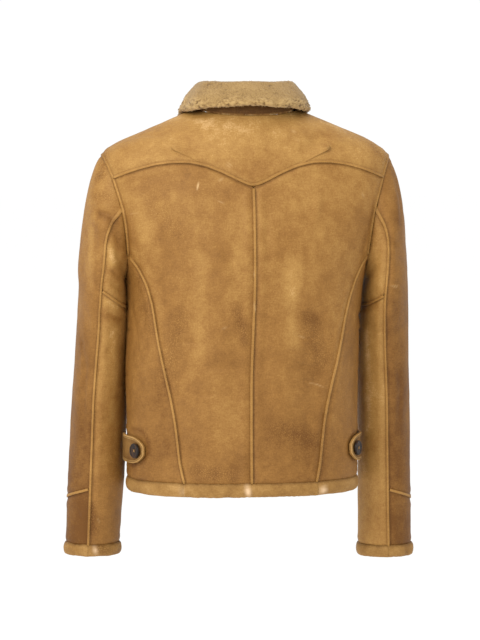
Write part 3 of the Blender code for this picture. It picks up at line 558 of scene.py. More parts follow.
SEEN_CREASES = (
    # The left sleeve, from the shoulder down.
    Crease(((93, 216), (101, 213), (109, 215), (116, 221)), -4.4, 5.2),
    Crease(((94, 204), (104, 203), (113, 207)), 2.6, 5.5),
    Crease(((95, 226), (104, 226), (112, 232)), 2.4, 6.0),
    Crease(((112, 226), (116, 234), (119, 246)), -3.2, 4.4),
    Crease(((107, 244), (112, 256), (117, 264)), 2.4, 6.0),
    Crease(((109, 270), (114, 272), (119, 276)), -2.8, 4.4),
    Crease(((105, 313), (112, 315), (120, 319)), -2.8, 4.4),
    Crease(((103, 324), (112, 327), (123, 331)), 1.8, 5.0),
    Crease(((104, 352), (113, 350)), -1.6, 2.6),
    Crease(((110, 385), (119, 384), (128, 386)), -2.0, 2.8),
    Crease(((109, 391), (117, 390), (127, 392)), 1.3, 2.8),
    Crease(((110, 397), (121, 396)), -1.6, 2.6),
    Crease(((98, 423), (108, 420), (117, 421)), -1.7, 3.2),
    Crease(((78, 343), (88, 342)), -1.1, 2.2),
    Crease(((77, 393), (88, 394)), -1.3, 2.4),
    Crease(((80, 330), (85, 366), (83, 402), (84, 440)), -2.0, 6.5),
    Crease(((94, 506), (99, 517), (104, 526)), -1.4, 3.0),
    Crease(((76, 503), (82, 512), (86, 523)), 1.3, 3.0),
    Crease(((77, 515), (84, 521), (88, 531)), -1.6, 2.8),
    # The right sleeve.
    Crease(((358, 316), (367, 309), (380, 302)), -3.2, 5.0),
    Crease(((359, 327), (368, 321), (381, 315)), 1.8, 5.0),
    Crease(((367, 332), (375, 332), (382, 330)), -1.6, 2.4),
    Crease(((386, 286), (392, 285), (400, 287)), 1.5, 2.2),
    Crease(((386, 290), (393, 289), (400, 291)), -1.2, 2.4),
    Crease(((396, 176), (401, 200), (402, 226)), -1.6, 6.0),
    Crease(((398, 362), (401, 388), (400, 416)), -2.0, 6.5),
    Crease(((366, 372), (374, 375), (381, 372)), -1.3, 3.0),
    Crease(((368, 396), (377, 398), (384, 396)), -1.2, 2.8),
    Crease(((366, 262), (372, 270), (374, 280)), -1.8, 4.0),
    Crease(((388, 240), (396, 244), (402, 243)), -1.4, 3.4),
    Crease(((370, 500), (377, 508), (380, 520)), -1.3, 3.0),
    # The back.
    Crease(((291, 334), (302, 337), (316, 339)), -1.5, 2.2),
    Crease(((296, 341), (309, 343), (322, 342)), 0.9, 2.2),
    Crease(((288, 351), (303, 350), (321, 351)), -1.2, 2.0),
    Crease(((294, 362), (306, 366), (320, 367)), -1.5, 2.2),
    Crease(((299, 379), (312, 381), (326, 384)), -1.6, 2.2),
    Crease(((283, 308), (303, 315), (328, 316)), -1.3, 7.5),
    Crease(((292, 398), (306, 412), (311, 432)), -1.6, 6.0),
    Crease(((174, 343), (188, 342), (203, 344)), -1.1, 3.4),
    Crease(((205, 368), (223, 368), (243, 370)), -1.1, 3.4),
    Crease(((198, 396), (216, 394), (232, 397)), -1.0, 3.4),
    Crease(((186, 262), (189, 291), (184, 324)), -1.4, 6.5),
    Crease(((214, 236), (232, 262), (236, 292)), -1.2, 7.0),
    Crease(((270, 210), (266, 236), (270, 262)), -1.2, 7.0),
    Crease(((322, 185), (318, 205), (313, 229)), 1.3, 7.5),
    Crease(((164, 190), (163, 214), (168, 240)), 1.4, 7.5),
    Crease(((300, 446), (312, 443), (322, 447)), -1.0, 2.6),
    Crease(((131, 300), (136, 330), (139, 362)), -1.3, 5.0),
    Crease(((150, 430), (161, 436), (170, 448)), -1.3, 3.6),
    # The yoke.
    Crease(((128, 138), (146, 134), (166, 136)), -1.2, 5.0),
    Crease(((196, 140), (208, 149), (214, 160)), -0.9, 4.0),
    Crease(((236, 154), (252, 163), (268, 154)), -1.2, 6.0),
    Crease(((330, 150), (346, 146), (362, 152)), -1.1, 4.6),
)

FAR_CREASES = (
    # The sides of the body and of the sleeves, which hang close together.
    FarCrease(Region.TRUNK, ((88, 190), (89, 330), (88, 500)), 2.4, 26.0),
    FarCrease(Region.TRUNK, ((272, 190), (271, 330), (272, 500)), 2.4, 26.0),
    FarCrease(Region.SLEEVE_LEFT, ((268, 150), (266, 240), (267, 350)), 2.2, 20.0),
    FarCrease(Region.SLEEVE_LEFT, ((268, 180), (266, 380), (268, 640)), 3.4, 24.0),
    FarCrease(Region.SLEEVE_LEFT, ((268, 400), (267, 500), (268, 650)), 4.2, 27.0),
    FarCrease(Region.SLEEVE_RIGHT, ((92, 180), (94, 340), (92, 590)), 2.2, 22.0),
    # The fronts: drag lines from the buttons, drape beside them and folds at the armholes.
    FarCrease(Region.TRUNK, ((168, 118), (158, 134), (148, 162)), -1.9, 5.0),
    FarCrease(Region.TRUNK, ((170, 222), (159, 214), (147, 222)), -1.6, 4.4),
    FarCrease(Region.TRUNK, ((171, 326), (160, 338), (149, 336)), -1.7, 4.6),
    FarCrease(Region.TRUNK, ((170, 428), (158, 420), (146, 431)), -1.4, 4.2),
    FarCrease(Region.TRUNK, ((192, 128), (203, 146), (211, 178)), -1.8, 5.2),
    FarCrease(Region.TRUNK, ((191, 226), (204, 236), (217, 232)), -1.5, 4.4),
    FarCrease(Region.TRUNK, ((192, 330), (206, 322), (218, 333)), -1.6, 4.6),
    FarCrease(Region.TRUNK, ((193, 432), (205, 441), (219, 437)), -1.4, 4.0),
    FarCrease(Region.TRUNK, ((126, 205), (131, 236), (129, 276)), -2.2, 6.0),
    FarCrease(Region.TRUNK, ((232, 210), (228, 244), (231, 292)), -2.2, 6.0),
    FarCrease(Region.TRUNK, ((118, 252), (110, 262), (101, 266)), -2.0, 4.4),
    FarCrease(Region.TRUNK, ((243, 256), (251, 264), (259, 268)), -2.0, 4.4),
    FarCrease(Region.TRUNK, ((140, 500), (128, 488), (114, 492)), -1.5, 4.4),
    FarCrease(Region.TRUNK, ((221, 498), (234, 486), (247, 494)), -1.5, 4.4),
    FarCrease(Region.TRUNK, ((96, 330), (88, 338), (78, 336)), -1.4, 3.6),
    FarCrease(Region.TRUNK, ((264, 336), (272, 342), (281, 339)), -1.4, 3.6),
    FarCrease(Region.TRUNK, ((94, 414), (86, 408), (76, 411)), -1.3, 3.4),
    FarCrease(Region.TRUNK, ((268, 402), (276, 408), (285, 405)), -1.3, 3.4),
    # The inner and front sides of the sleeves, deepest at the elbow.
    FarCrease(Region.SLEEVE_LEFT, ((250, 262), (228, 270), (205, 264)), -3.0, 4.6),
    FarCrease(Region.SLEEVE_LEFT, ((246, 286), (222, 292), (196, 284)), -3.6, 4.8),
    FarCrease(Region.SLEEVE_LEFT, ((240, 312), (214, 316), (188, 310)), -3.2, 4.6),
    FarCrease(Region.SLEEVE_LEFT, ((232, 344), (208, 340), (184, 346)), -2.4, 4.2),
    FarCrease(Region.SLEEVE_LEFT, ((228, 398), (204, 404), (182, 400)), -1.7, 3.8),
    FarCrease(Region.SLEEVE_LEFT, ((168, 452), (186, 460), (204, 456)), -1.5, 3.6),
    FarCrease(Region.SLEEVE_LEFT, ((156, 190), (140, 204), (122, 206)), -2.2, 5.0),
    FarCrease(Region.SLEEVE_LEFT, ((150, 356), (132, 364), (112, 360)), -1.5, 3.6),
    FarCrease(Region.SLEEVE_RIGHT, ((110, 260), (132, 270), (155, 266)), -3.0, 4.6),
    FarCrease(Region.SLEEVE_RIGHT, ((114, 288), (138, 294), (164, 288)), -3.6, 4.8),
    FarCrease(Region.SLEEVE_RIGHT, ((120, 316), (146, 318), (172, 312)), -3.2, 4.6),
    FarCrease(Region.SLEEVE_RIGHT, ((128, 350), (152, 344), (176, 350)), -2.4, 4.2),
    FarCrease(Region.SLEEVE_RIGHT, ((132, 404), (156, 408), (178, 402)), -1.7, 3.8),
    FarCrease(Region.SLEEVE_RIGHT, ((192, 458), (174, 464), (156, 458)), -1.5, 3.6),
    FarCrease(Region.SLEEVE_RIGHT, ((204, 194), (220, 206), (238, 208)), -2.2, 5.0),
    FarCrease(Region.SLEEVE_RIGHT, ((210, 360), (228, 366), (248, 362)), -1.5, 3.6),
)

STROKES = (
    Stroke(Mark.SCAR, ((198.6, 182.5), (197.2, 189.5)), 1.15, 1.0),
    Stroke(Mark.SCAR, ((219, 181), (223, 178)), 1.3, 0.4),
    Stroke(Mark.SCAR, ((226, 167), (231, 163)), 1.3, 0.45),
    Stroke(Mark.SCAR, ((170.6, 150), (172.6, 145)), 1.2, 0.4),
    Stroke(Mark.SCAR, ((292, 129), (294, 132)), 1.8, 0.4),
    Stroke(Mark.SCAR, ((295, 138), (299, 141)), 1.8, 0.45),
    Stroke(Mark.SCAR, ((218, 201), (224, 203)), 1.0, 0.35),
    Stroke(Mark.SCAR, ((131, 214), (138, 213)), 1.0, 0.25),
    Stroke(Mark.SCAR, ((254.5, 305), (256, 311)), 1.4, 0.6),
    Stroke(Mark.SCAR, ((254, 272), (254, 277)), 1.1, 0.5),
    Stroke(Mark.SCAR, ((362, 193), (364, 197)), 1.2, 0.35),
    Stroke(Mark.SCAR, ((222, 329), (227, 327)), 1.2, 0.25),
    Stroke(Mark.SCAR, ((299, 336), (305, 338)), 0.9, 0.35),
    Stroke(Mark.SCAR, ((309, 383), (316, 384), (323, 387)), 0.9, 0.4),
    Stroke(Mark.SCAR, ((391, 286), (398, 286.5)), 1.1, 0.5),
    Stroke(Mark.SCAR, ((371, 335), (378, 335)), 0.9, 0.3),
    Stroke(Mark.SCAR, ((97, 518), (100, 523)), 1.0, 0.3),
    Stroke(Mark.SCAR, ((181.4, 487.5), (181.6, 496)), 3.0, 1.0),
    Stroke(Mark.SCAR, ((247, 487.5), (249, 496)), 4.2, 0.95),
    Stroke(Mark.SCAR, ((323.6, 487), (323.6, 495.5)), 2.8, 0.9),
    Stroke(Mark.SCAR, ((94.5, 547), (96, 554)), 3.4, 0.7),
    # Clouds, dark ones and light ones of less than 0: the hide's own clouds, and with them painted shade in creases and
    # folds and painted light on ridges, on the yoke, down lit bands of the back and on the under sleeves.
    Stroke(Mark.BLOTCH, ((208, 134), (238, 140), (264, 134)), 27.0, -0.34),
    Stroke(Mark.BLOTCH, ((222, 122), (244, 128)), 14.0, -0.20),
    Stroke(Mark.BLOTCH, ((150, 120), (182, 118), (206, 124)), 16.0, -0.2),
    Stroke(Mark.BLOTCH, ((334, 124), (350, 136)), 15.0, -0.25),
    Stroke(Mark.BLOTCH, ((200, 262), (198, 310), (200, 352)), 15.0, -0.42),
    Stroke(Mark.BLOTCH, ((292, 262), (292, 300), (294, 344)), 15.0, -0.62),
    Stroke(Mark.BLOTCH, ((140, 200), (143, 240)), 14.0, -0.42),
    Stroke(Mark.BLOTCH, ((240, 220), (238, 262)), 12.0, -0.2),
    Stroke(Mark.BLOTCH, ((92, 232), (90, 262), (92, 286)), 9.0, -0.35),
    Stroke(Mark.BLOTCH, ((110, 250), (113, 262)), 6.5, -0.55),
    Stroke(Mark.BLOTCH, ((108, 302), (118, 306)), 6.0, -0.3),
    Stroke(Mark.BLOTCH, ((112, 330), (115, 372), (112, 420)), 9.0, -0.35),
    Stroke(Mark.BLOTCH, ((366, 330), (369, 380), (367, 430)), 8.0, -0.4),
    Stroke(Mark.BLOTCH, ((345, 300), (340, 360), (334, 420)), 9.0, -0.15),
    Stroke(Mark.BLOTCH, ((166, 366), (171, 410)), 8.0, -0.2),
    Stroke(Mark.BLOTCH, ((238, 165), (251, 175), (264, 166)), 16.0, 0.26),
    Stroke(Mark.BLOTCH, ((124, 150), (138, 146)), 13.8, 0.25),
    Stroke(Mark.BLOTCH, ((160, 284), (170, 308), (168, 330)), 14.9, 0.25),
    Stroke(Mark.BLOTCH, ((296, 310), (322, 322)), 17.0, 0.30),
    Stroke(Mark.BLOTCH, ((298, 366), (318, 372)), 11.5, 0.29),
    Stroke(Mark.BLOTCH, ((270, 428), (300, 438), (320, 462)), 27.0, 0.26),
    Stroke(Mark.BLOTCH, ((206, 354), (236, 366)), 13.8, 0.18),
    Stroke(Mark.BLOTCH, ((196, 452), (236, 462)), 18.4, 0.22),
    Stroke(Mark.BLOTCH, ((128, 455), (129, 478)), 8.0, 0.4),
    Stroke(Mark.BLOTCH, ((98, 214), (108, 217), (115, 224)), 6.3, 0.68),
    Stroke(Mark.BLOTCH, ((115, 232), (119, 248)), 6.3, 0.61),
    Stroke(Mark.BLOTCH, ((112, 272), (119, 277)), 5.8, 0.5),
    Stroke(Mark.BLOTCH, ((103, 315), (120, 320)), 7.5, 0.43),
    Stroke(Mark.BLOTCH, ((362, 312), (378, 305)), 9.2, 0.36),
    Stroke(Mark.BLOTCH, ((397, 196), (400, 222)), 10.3, 0.29),
    Stroke(Mark.BLOTCH, ((400, 372), (402, 430)), 13.8, 0.36),
    Stroke(Mark.BLOTCH, ((372, 214), (367, 232), (362, 250)), 6.3, 0.43),
    Stroke(Mark.BLOTCH, ((80, 506), (86, 534)), 13.8, 0.29),
    # The shade round the left tab's end.
    Stroke(Mark.BLOTCH, ((132, 429), (142, 431), (148, 440), (149, 452), (143, 462), (132, 465)), 3.4, 0.75),
    Stroke(Mark.BLOTCH, ((355, 431), (349, 440), (349, 453), (355, 462)), 3.4, 0.6),
    Stroke(Mark.PEBBLE, ((104, 152), (100, 176)), 11.0, 0.9),
    Stroke(Mark.PEBBLE, ((94, 196), (108, 196)), 8.0, 0.5),
    Stroke(Mark.PEBBLE, ((374, 146), (384, 158)), 11.0, 0.8),
    Stroke(Mark.PEBBLE, ((158, 205), (176, 232)), 18.0, 0.3),
    Stroke(Mark.PEBBLE, ((140, 280), (150, 330)), 12.0, 0.4),
    Stroke(Mark.PEBBLE, ((310, 320), (322, 360)), 18.0, 0.6),
    Stroke(Mark.PEBBLE, ((180, 320), (165, 380)), 16.0, 0.5),
    Stroke(Mark.PEBBLE, ((92, 506), (93, 530)), 7.0, 1.0),
    Stroke(Mark.PEBBLE, ((198, 472), (230, 476)), 12.0, 0.6),
    Stroke(Mark.PEBBLE, ((278, 430), (312, 440)), 16.0, 0.5),
    Stroke(Mark.PEBBLE, ((236, 310), (246, 340)), 10.0, 0.6),
    Stroke(Mark.PEBBLE, ((98, 549), (110, 549)), 7.0, 0.8),
)


class Form:
    """A hollow form of the jacket: where its axis runs and which way is out of it."""

    SLICES = 34
    REACH = 36 * MM

    def __init__(self, nodes: Sequence[str], crown: float) -> None:
        """Measures the form.

        Args:
            nodes: The solids that wrap it.
            crown: The height from which it closes over, so that out of it turns upwards.
        """
        points = np.concatenate([cad_points(node) for node in nodes])
        self.tree = tree_of(nodes)
        self.crown = crown
        self.heights = np.linspace(points[:, 2].min(), points[:, 2].max(), self.SLICES)
        middles, halves = [], []
        for height in self.heights:
            near = points[abs(points[:, 2] - height) < self.REACH][:, :2]
            middles.append((near.min(axis=0) + near.max(axis=0)) / 2)
            halves.append((near.max(axis=0) - near.min(axis=0)) / 2)
        self.middles = np.array(middles)
        self.halves = np.array(halves)

    def _at(self, table: np.ndarray, heights: np.ndarray) -> np.ndarray:
        """Reads a table of two columns at these heights."""
        return np.stack([np.interp(heights, self.heights, table[:, column]) for column in (0, 1)], axis=1)

    def outward(self, points: np.ndarray) -> np.ndarray:
        """The way out of the form at points near it.

        Args:
            points: One row a point.

        Returns:
            One unit row a point.
        """
        level = (points[:, :2] - self._at(self.middles, points[:, 2])) / self._at(self.halves, points[:, 2]) ** 2
        level /= np.linalg.norm(level, axis=1)[:, None]
        rise = smooth_step((points[:, 2] - self.crown) / 0.09) * 1.2
        out = np.column_stack([level, rise])
        return out / np.linalg.norm(out, axis=1)[:, None]

    def place(self, turn: float, down: float) -> Vector:
        """The point of the form at a turn round it and a distance down.

        Args:
            turn: Degrees from the back, over the wearer's left.
            down: Millimetres below the base of the neck.

        Returns:
            The point.
        """
        height = -down * MM
        middle = self._at(self.middles, np.array([height]))[0]
        way = Vector((sin(radians(turn)), cos(radians(turn)), 0.0))
        start = Vector((*middle, height)) + way
        found = self.tree.ray_cast(start, -way)[0]
        return found if found is not None else start - way * 0.95


class Relief:
    """The folds, creases and marks that every piece of the jacket shares."""

    EASE = 14 * MM
    DRAPE_SIZE = 46 * MM
    DRAPE_DEPTH = 1.3 * MM
    RIPPLE_SIZE = 13 * MM
    RIPPLE_DEPTH = 0.32 * MM
    PILLOW_RISE = 0.8 * MM
    PILLOW_DROP = 0.9 * MM
    CLOSE_REACH = 22 * MM
    CLOSE_STEP = 2.4 * MM
    SHADED = np.array([-0.55, 0.0, -0.83])
    LIT_SHARE = 0.10

    def __init__(self, view: PhotoView) -> None:
        """Finds where every crease and mark lies.

        Args:
            view: The photograph's camera.
        """
        names = sorted(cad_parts)
        self.sleeves = {side: [n for n in names if "sleeve" in n or "cuff" in n or "elbow" in n] for side in SIDES}
        self.sleeves = {side: [n for n in made if n.endswith(side)] for side, made in self.sleeves.items()}
        in_sleeve = set(self.sleeves["left"] + self.sleeves["right"])
        panels = ("back", "side", "front_left", "front_right")
        trunk = [n for n in names if n not in in_sleeve and n.startswith(panels)]
        walls = {side: [n for n in made if "strip" not in n] for side, made in self.sleeves.items()}
        self.forms = {
            Region.TRUNK: Form(trunk, crown=-0.085),
            Region.SLEEVE_LEFT: Form(walls["left"], crown=-0.10),
            Region.SLEEVE_RIGHT: Form(walls["right"], crown=-0.10),
        }
        self.view = view
        self.everything = tree_of([n for n in names if "button" not in n])
        self.seams = tree_of([n for n in names if n.startswith(("strip", "hem", "cuff_roll", "tab_left", "tab_right"))])
        self.panels = tree_of(trunk + walls["left"] + walls["right"] + ["back_yoke"])
        self.armholes = tree_of([f"strip_armhole_{side}" for side in SIDES])
        self.creases: list[tuple[Region, np.ndarray, float, float]] = []
        for crease in SEEN_CREASES:
            path = self.seen_path(crease.path)
            self.creases.append((self.region_at(path[0]), path, crease.depth * MM, crease.half_width * MM))
        for far in FAR_CREASES:
            form = self.forms[far.region]
            path = np.array([form.place(turn, down) for turn, down in self._denser(far.path)])
            self.creases.append((far.region, path, far.depth * MM, far.half_width * MM))
        self.strokes = [(stroke, self.seen_path(stroke.path)) for stroke in STROKES]

    @staticmethod
    def _denser(path: Sequence[tuple[float, float]], steps: int = 4) -> list[tuple[float, float]]:
        """A path with more corners, on the same straight stretches.

        Args:
            path: Pixels.
            steps: How many pieces each stretch is cut into.

        Returns:
            The denser path.
        """
        made = [path[0]]
        for (x, y), (next_x, next_y) in zip(path, path[1:]):
            shares = [step / steps for step in range(1, steps + 1)]
            made += [(x + (next_x - x) * share, y + (next_y - y) * share) for share in shares]
        return made

    def seen_path(self, path: Sequence[tuple[float, float]]) -> np.ndarray:
        """The points of the jacket under a path of the photograph's pixels.

        Args:
            path: Pixels.

        Returns:
            One row a point.
        """
        eye = self.view.eye()
        found = [self.everything.ray_cast(eye, self.view.ray(x, y))[0] for x, y in self._denser(path)]
        return np.array([point for point in found if point is not None])

    def region_at(self, point: np.ndarray) -> Region:
        """The form that a point lies on.

        Args:
            point: The point.

        Returns:
            The form nearest to it.
        """
        far = {
            region: form.tree.find_nearest(Vector(point))[3] for region, form in self.forms.items()
        }
        return min(far, key=far.get)

    def seam_ways(self, points: np.ndarray) -> tuple[np.ndarray, np.ndarray]:
        """How far points lie from the nearest seam, and the ways there from it."""
        return nearest_on(self.seams, points, 0.04)

    def shaded(self, ways: np.ndarray) -> np.ndarray:
        """How much of a ridge's shadow falls on the side that ways point to: all below it and on the right.

        Args:
            ways: One row a point, away from the ridge.

        Returns:
            One share a point.
        """
        lengths = np.maximum(np.linalg.norm(ways, axis=1), 1e-6)
        return self.LIT_SHARE + (1 - self.LIT_SHARE) * smooth_step(0.5 + ways @ self.SHADED / lengths * 0.7)

    def closed_up(self, points: np.ndarray, region: Region) -> np.ndarray:
        """How far a sleeve's top edge moves in under the armhole's strip: one row a point.

        Args:
            points: One row a point.
            region: The form that they lie on.

        Returns:
            One row a point to add to it.
        """
        near = 1 - smooth_step(nearest_on(self.armholes, points, self.CLOSE_REACH)[0] / self.CLOSE_REACH)
        inwards = {Region.TRUNK: 0.0, Region.SLEEVE_LEFT: -self.CLOSE_STEP, Region.SLEEVE_RIGHT: self.CLOSE_STEP}
        return near[:, None] * np.array([inwards[region], 0.0, 0.0])

    def shift(self, points: np.ndarray, region: Region, near_seam: np.ndarray) -> np.ndarray:
        """How far the relief moves points.

        Args:
            points: One row a point.
            region: The form that they lie on.
            near_seam: Their distances from the nearest seam.

        Returns:
            One row a point to add to it.
        """
        form = self.forms[region]
        ease = smooth_step(nearest_on(self.armholes, points, 0.03)[0] / self.EASE)
        stretched = points * np.array([1.0, 1.0, 0.45])
        height = lattice_noise(stretched, self.DRAPE_SIZE, 3) * self.DRAPE_DEPTH
        height += lattice_noise(points, self.RIPPLE_SIZE, 5) * self.RIPPLE_DEPTH
        for place, path, depth, half_width in self.creases:
            if place is region:
                height += self._crease_height(points, path, depth, half_width)
        height *= ease
        height += self.PILLOW_RISE * np.exp(-(((near_seam - 9 * MM) / (5 * MM)) ** 2))
        height -= self.PILLOW_DROP * np.exp(-((near_seam / (3 * MM)) ** 2))
        return form.outward(points) * height[:, None] + self.closed_up(points, region)

    @staticmethod
    def _crease_height(points: np.ndarray, path: np.ndarray, depth: float, half_width: float) -> np.ndarray:
        """How far one crease moves points out.

        Args:
            points: One row a point.
            path: The crease's middle line, one row a corner.
            depth: How high it stands, below 0 for a trough.
            half_width: How far to each side it reaches.

        Returns:
            One height a point.
        """
        room = half_width * 3
        low, high = path.min(axis=0) - room, path.max(axis=0) + room
        near = ((points > low) & (points < high)).all(axis=1)
        height = np.zeros(len(points))
        if near.any():
            away, share, _ = path_distance(points[near], path)
            fade = np.sin(pi * np.clip(share, 0.04, 0.96)) ** 0.7
            height[near] = depth * fade * np.exp(-((away / half_width) ** 2))
        return height

    def painted(self, points: np.ndarray, kind: Mark) -> np.ndarray:
        """How strongly marks of one kind show at points.

        Args:
            points: One row a point.
            kind: The kind of mark.

        Returns:
            One number a point, 0 where there is none, and under 0 where a stroke lightens the hide, as light clouds and
            painted light do.
        """
        total = np.zeros(len(points))
        for stroke, path in self.strokes:
            if stroke.kind is not kind or len(path) < 2:
                continue
            room = stroke.half_width * MM * 2.5
            near = ((points > path.min(axis=0) - room) & (points < path.max(axis=0) + room)).all(axis=1)
            if near.any():
                away, share, _ = path_distance(points[near], path)
                fade = 1.0 if kind is not Mark.SCAR else np.sin(pi * np.clip(share, 0.08, 0.92)) ** 0.6
                total[near] += stroke.strength * fade * np.exp(-((away / (stroke.half_width * MM)) ** 2))
        return np.clip(total, -1.0, 1.0)


# ------------------------------------------------------------------ materials


def add(
    tree: bpy.types.NodeTree,
    kind: str,
    inputs: dict[str | int, object] | None = None,
    settings: dict[str, object] | None = None,
) -> bpy.types.Node:
    """Adds a node with its settings and links.

    Args:
        tree: The material's or world's node tree.
        kind: The node's type, without ShaderNode in front.
        inputs: Values or sockets for its inputs, by name or number.
        settings: Its properties.

    Returns:
        The node.
    """
    node = tree.nodes.new(f"ShaderNode{kind}")
    for name, value in (settings or {}).items():
        setattr(node, name, value)
    for name, value in (inputs or {}).items():
        if isinstance(value, bpy.types.NodeSocket):
            tree.links.new(value, node.inputs[name])
        else:
            node.inputs[name].default_value = value
    return node


def new_material(name: str) -> tuple[bpy.types.Material, bpy.types.NodeTree, bpy.types.Node]:
    """Makes a material.

    Args:
        name: Its name.

    Returns:
        The material, its tree and its shader.
    """
    material = bpy.data.materials.new(name)
    material.use_nodes = True
    tree = material.node_tree
    return material, tree, tree.nodes["Principled BSDF"]


@dataclass(frozen=True)
class Hide:
    """Waxed sheepskin, skin side out.

    To the eye it is matt to half matt and cloudy in colour, with a fine crackled grain, with painted shade along its
    seams and paler where it is scuffed. Colours are sRGB hex. Sizes are in mm, and noise comes as size, detail and
    roughness.
    """

    name: str
    deep: str = "643E13"
    middle: str = "8B612D"
    light: str = "A67D42"
    pale: str = "C79F69"
    scar: str = "CFAB78"
    roughness: float = 0.60
    gloss: float = 0.20
    clouds: tuple[float, float, float] = (70.0, 3.0, 0.5)
    mottles: tuple[float, float, float] = (17.0, 4.0, 0.6)
    speckles: tuple[float, float, float] = (2.6, 3.0, 0.65)
    streaks: tuple[float, float, float] = (1.3, 2.0, 0.5)
    streak_stretch: float = 0.16
    grain: float = 1.5
    pebble: float = 2.8

    def make(self) -> bpy.types.Material:
        """Makes the material.

        Returns:
            A material that reads the attributes for tone, painted seam shade, scars, clouds with painted light and
            shade, and pebble grain.
        """
        material, tree, shader = new_material(self.name)
        where = add(tree, "TexCoord").outputs["Object"]
        tone, seam, scar, blotch, pebble = (
            add(tree, "Attribute", settings={"attribute_name": name}).outputs["Fac"]
            for name in ("tone", "seam", "scar", "blotch", "pebble")
        )
        stretch = (self.streak_stretch, self.streak_stretch, 1.0)
        along = add(tree, "Mapping", {"Vector": where, "Scale": stretch}).outputs["Vector"]
        clouds, mottles, speckles, streaks = (
            add(
                tree, "TexNoise", {"Vector": at, "Scale": 1 / (size * MM), "Detail": detail, "Roughness": rough}
            ).outputs["Fac"]
            for at, (size, detail, rough) in (
                (where, self.clouds), (where, self.mottles), (where, self.speckles), (along, self.streaks)
            )
        )
        # The grain's own plates are 0.2 to 0.5 mm wide. They are drawn at 1.5 mm, so that they show.
        plates = add(tree, "TexVoronoi", {"Vector": where, "Scale": 1 / (self.grain * MM)}).outputs["Distance"]
        to_edge = add(
            tree, "TexVoronoi", {"Vector": where, "Scale": 1 / (self.pebble * MM), "Randomness": 0.95},
            {"feature": "DISTANCE_TO_EDGE"},
        ).outputs["Distance"]
        near_edge = add(tree, "Math", {0: 0.30, 1: to_edge}, {"operation": "SUBTRACT"}).outputs[0]
        opened = add(tree, "Math", {0: near_edge, 1: 0.0}, {"operation": "MAXIMUM"}).outputs[0]
        cracks = add(tree, "Math", {0: opened, 1: pebble}, {"operation": "MULTIPLY"}).outputs[0]
        # Lightness: the hide's own clouds, mottles, speckles and streaks, its tone, which also holds painted light on
        # the walls, the cloud strokes with their painted light and shade, darker grain cracks, and painted shade along
        # the seams.
        value: object = -0.33
        for source, weight in (
            (clouds, 0.52), (mottles, 0.46), (speckles, 0.44), (streaks, 0.24), (tone, 1.0),
            (blotch, -0.42), (cracks, -1.5), (seam, -0.40),
        ):
            value = add(tree, "Math", {0: source, 1: weight, 2: value}, {"operation": "MULTIPLY_ADD"}).outputs[0]
        ramp = add(tree, "ValToRGB", {"Fac": value})
        stops = ramp.color_ramp.elements
        stops[0].position, stops[0].color = 0.02, linear(self.deep)
        stops[1].position, stops[1].color = 1.0, linear(self.pale)
        for place, colour in ((0.45, self.middle), (0.78, self.light)):
            stops.new(place).color = linear(colour)
        scuffed = add(
            tree, "Mix", {0: scar, 6: ramp.outputs["Color"], 7: linear(self.scar)}, {"data_type": "RGBA"}
        ).outputs[2]
        # Painted shade along seams and grooves darkens the colour once more.
        shade = add(tree, "Math", {0: seam, 1: -0.38, 2: 1.0}, {"operation": "MULTIPLY_ADD"}).outputs[0]
        worn = add(
            tree, "Mix", {0: 1.0, 6: scuffed, 7: shade}, {"data_type": "RGBA", "blend_type": "MULTIPLY"}
        ).outputs[2]
        rough = add(
            tree, "Math", {0: mottles, 1: 0.22, 2: self.roughness - 0.11}, {"operation": "MULTIPLY_ADD"}
        ).outputs[0]
        height: object = 0.0
        for source, weight in ((plates, -0.16), (speckles, 0.5), (cracks, -2.2), (mottles, 1.0), (streaks, 0.30)):
            height = add(tree, "Math", {0: source, 1: weight, 2: height}, {"operation": "MULTIPLY_ADD"}).outputs[0]
        bump = add(tree, "Bump", {"Strength": 0.6, "Distance": 1.1 * MM, "Height": height}).outputs["Normal"]
        tree.links.new(worn, shader.inputs["Base Color"])
        tree.links.new(rough, shader.inputs["Roughness"])
        tree.links.new(bump, shader.inputs["Normal"])
        shader.inputs["Specular IOR Level"].default_value = self.gloss
        return material


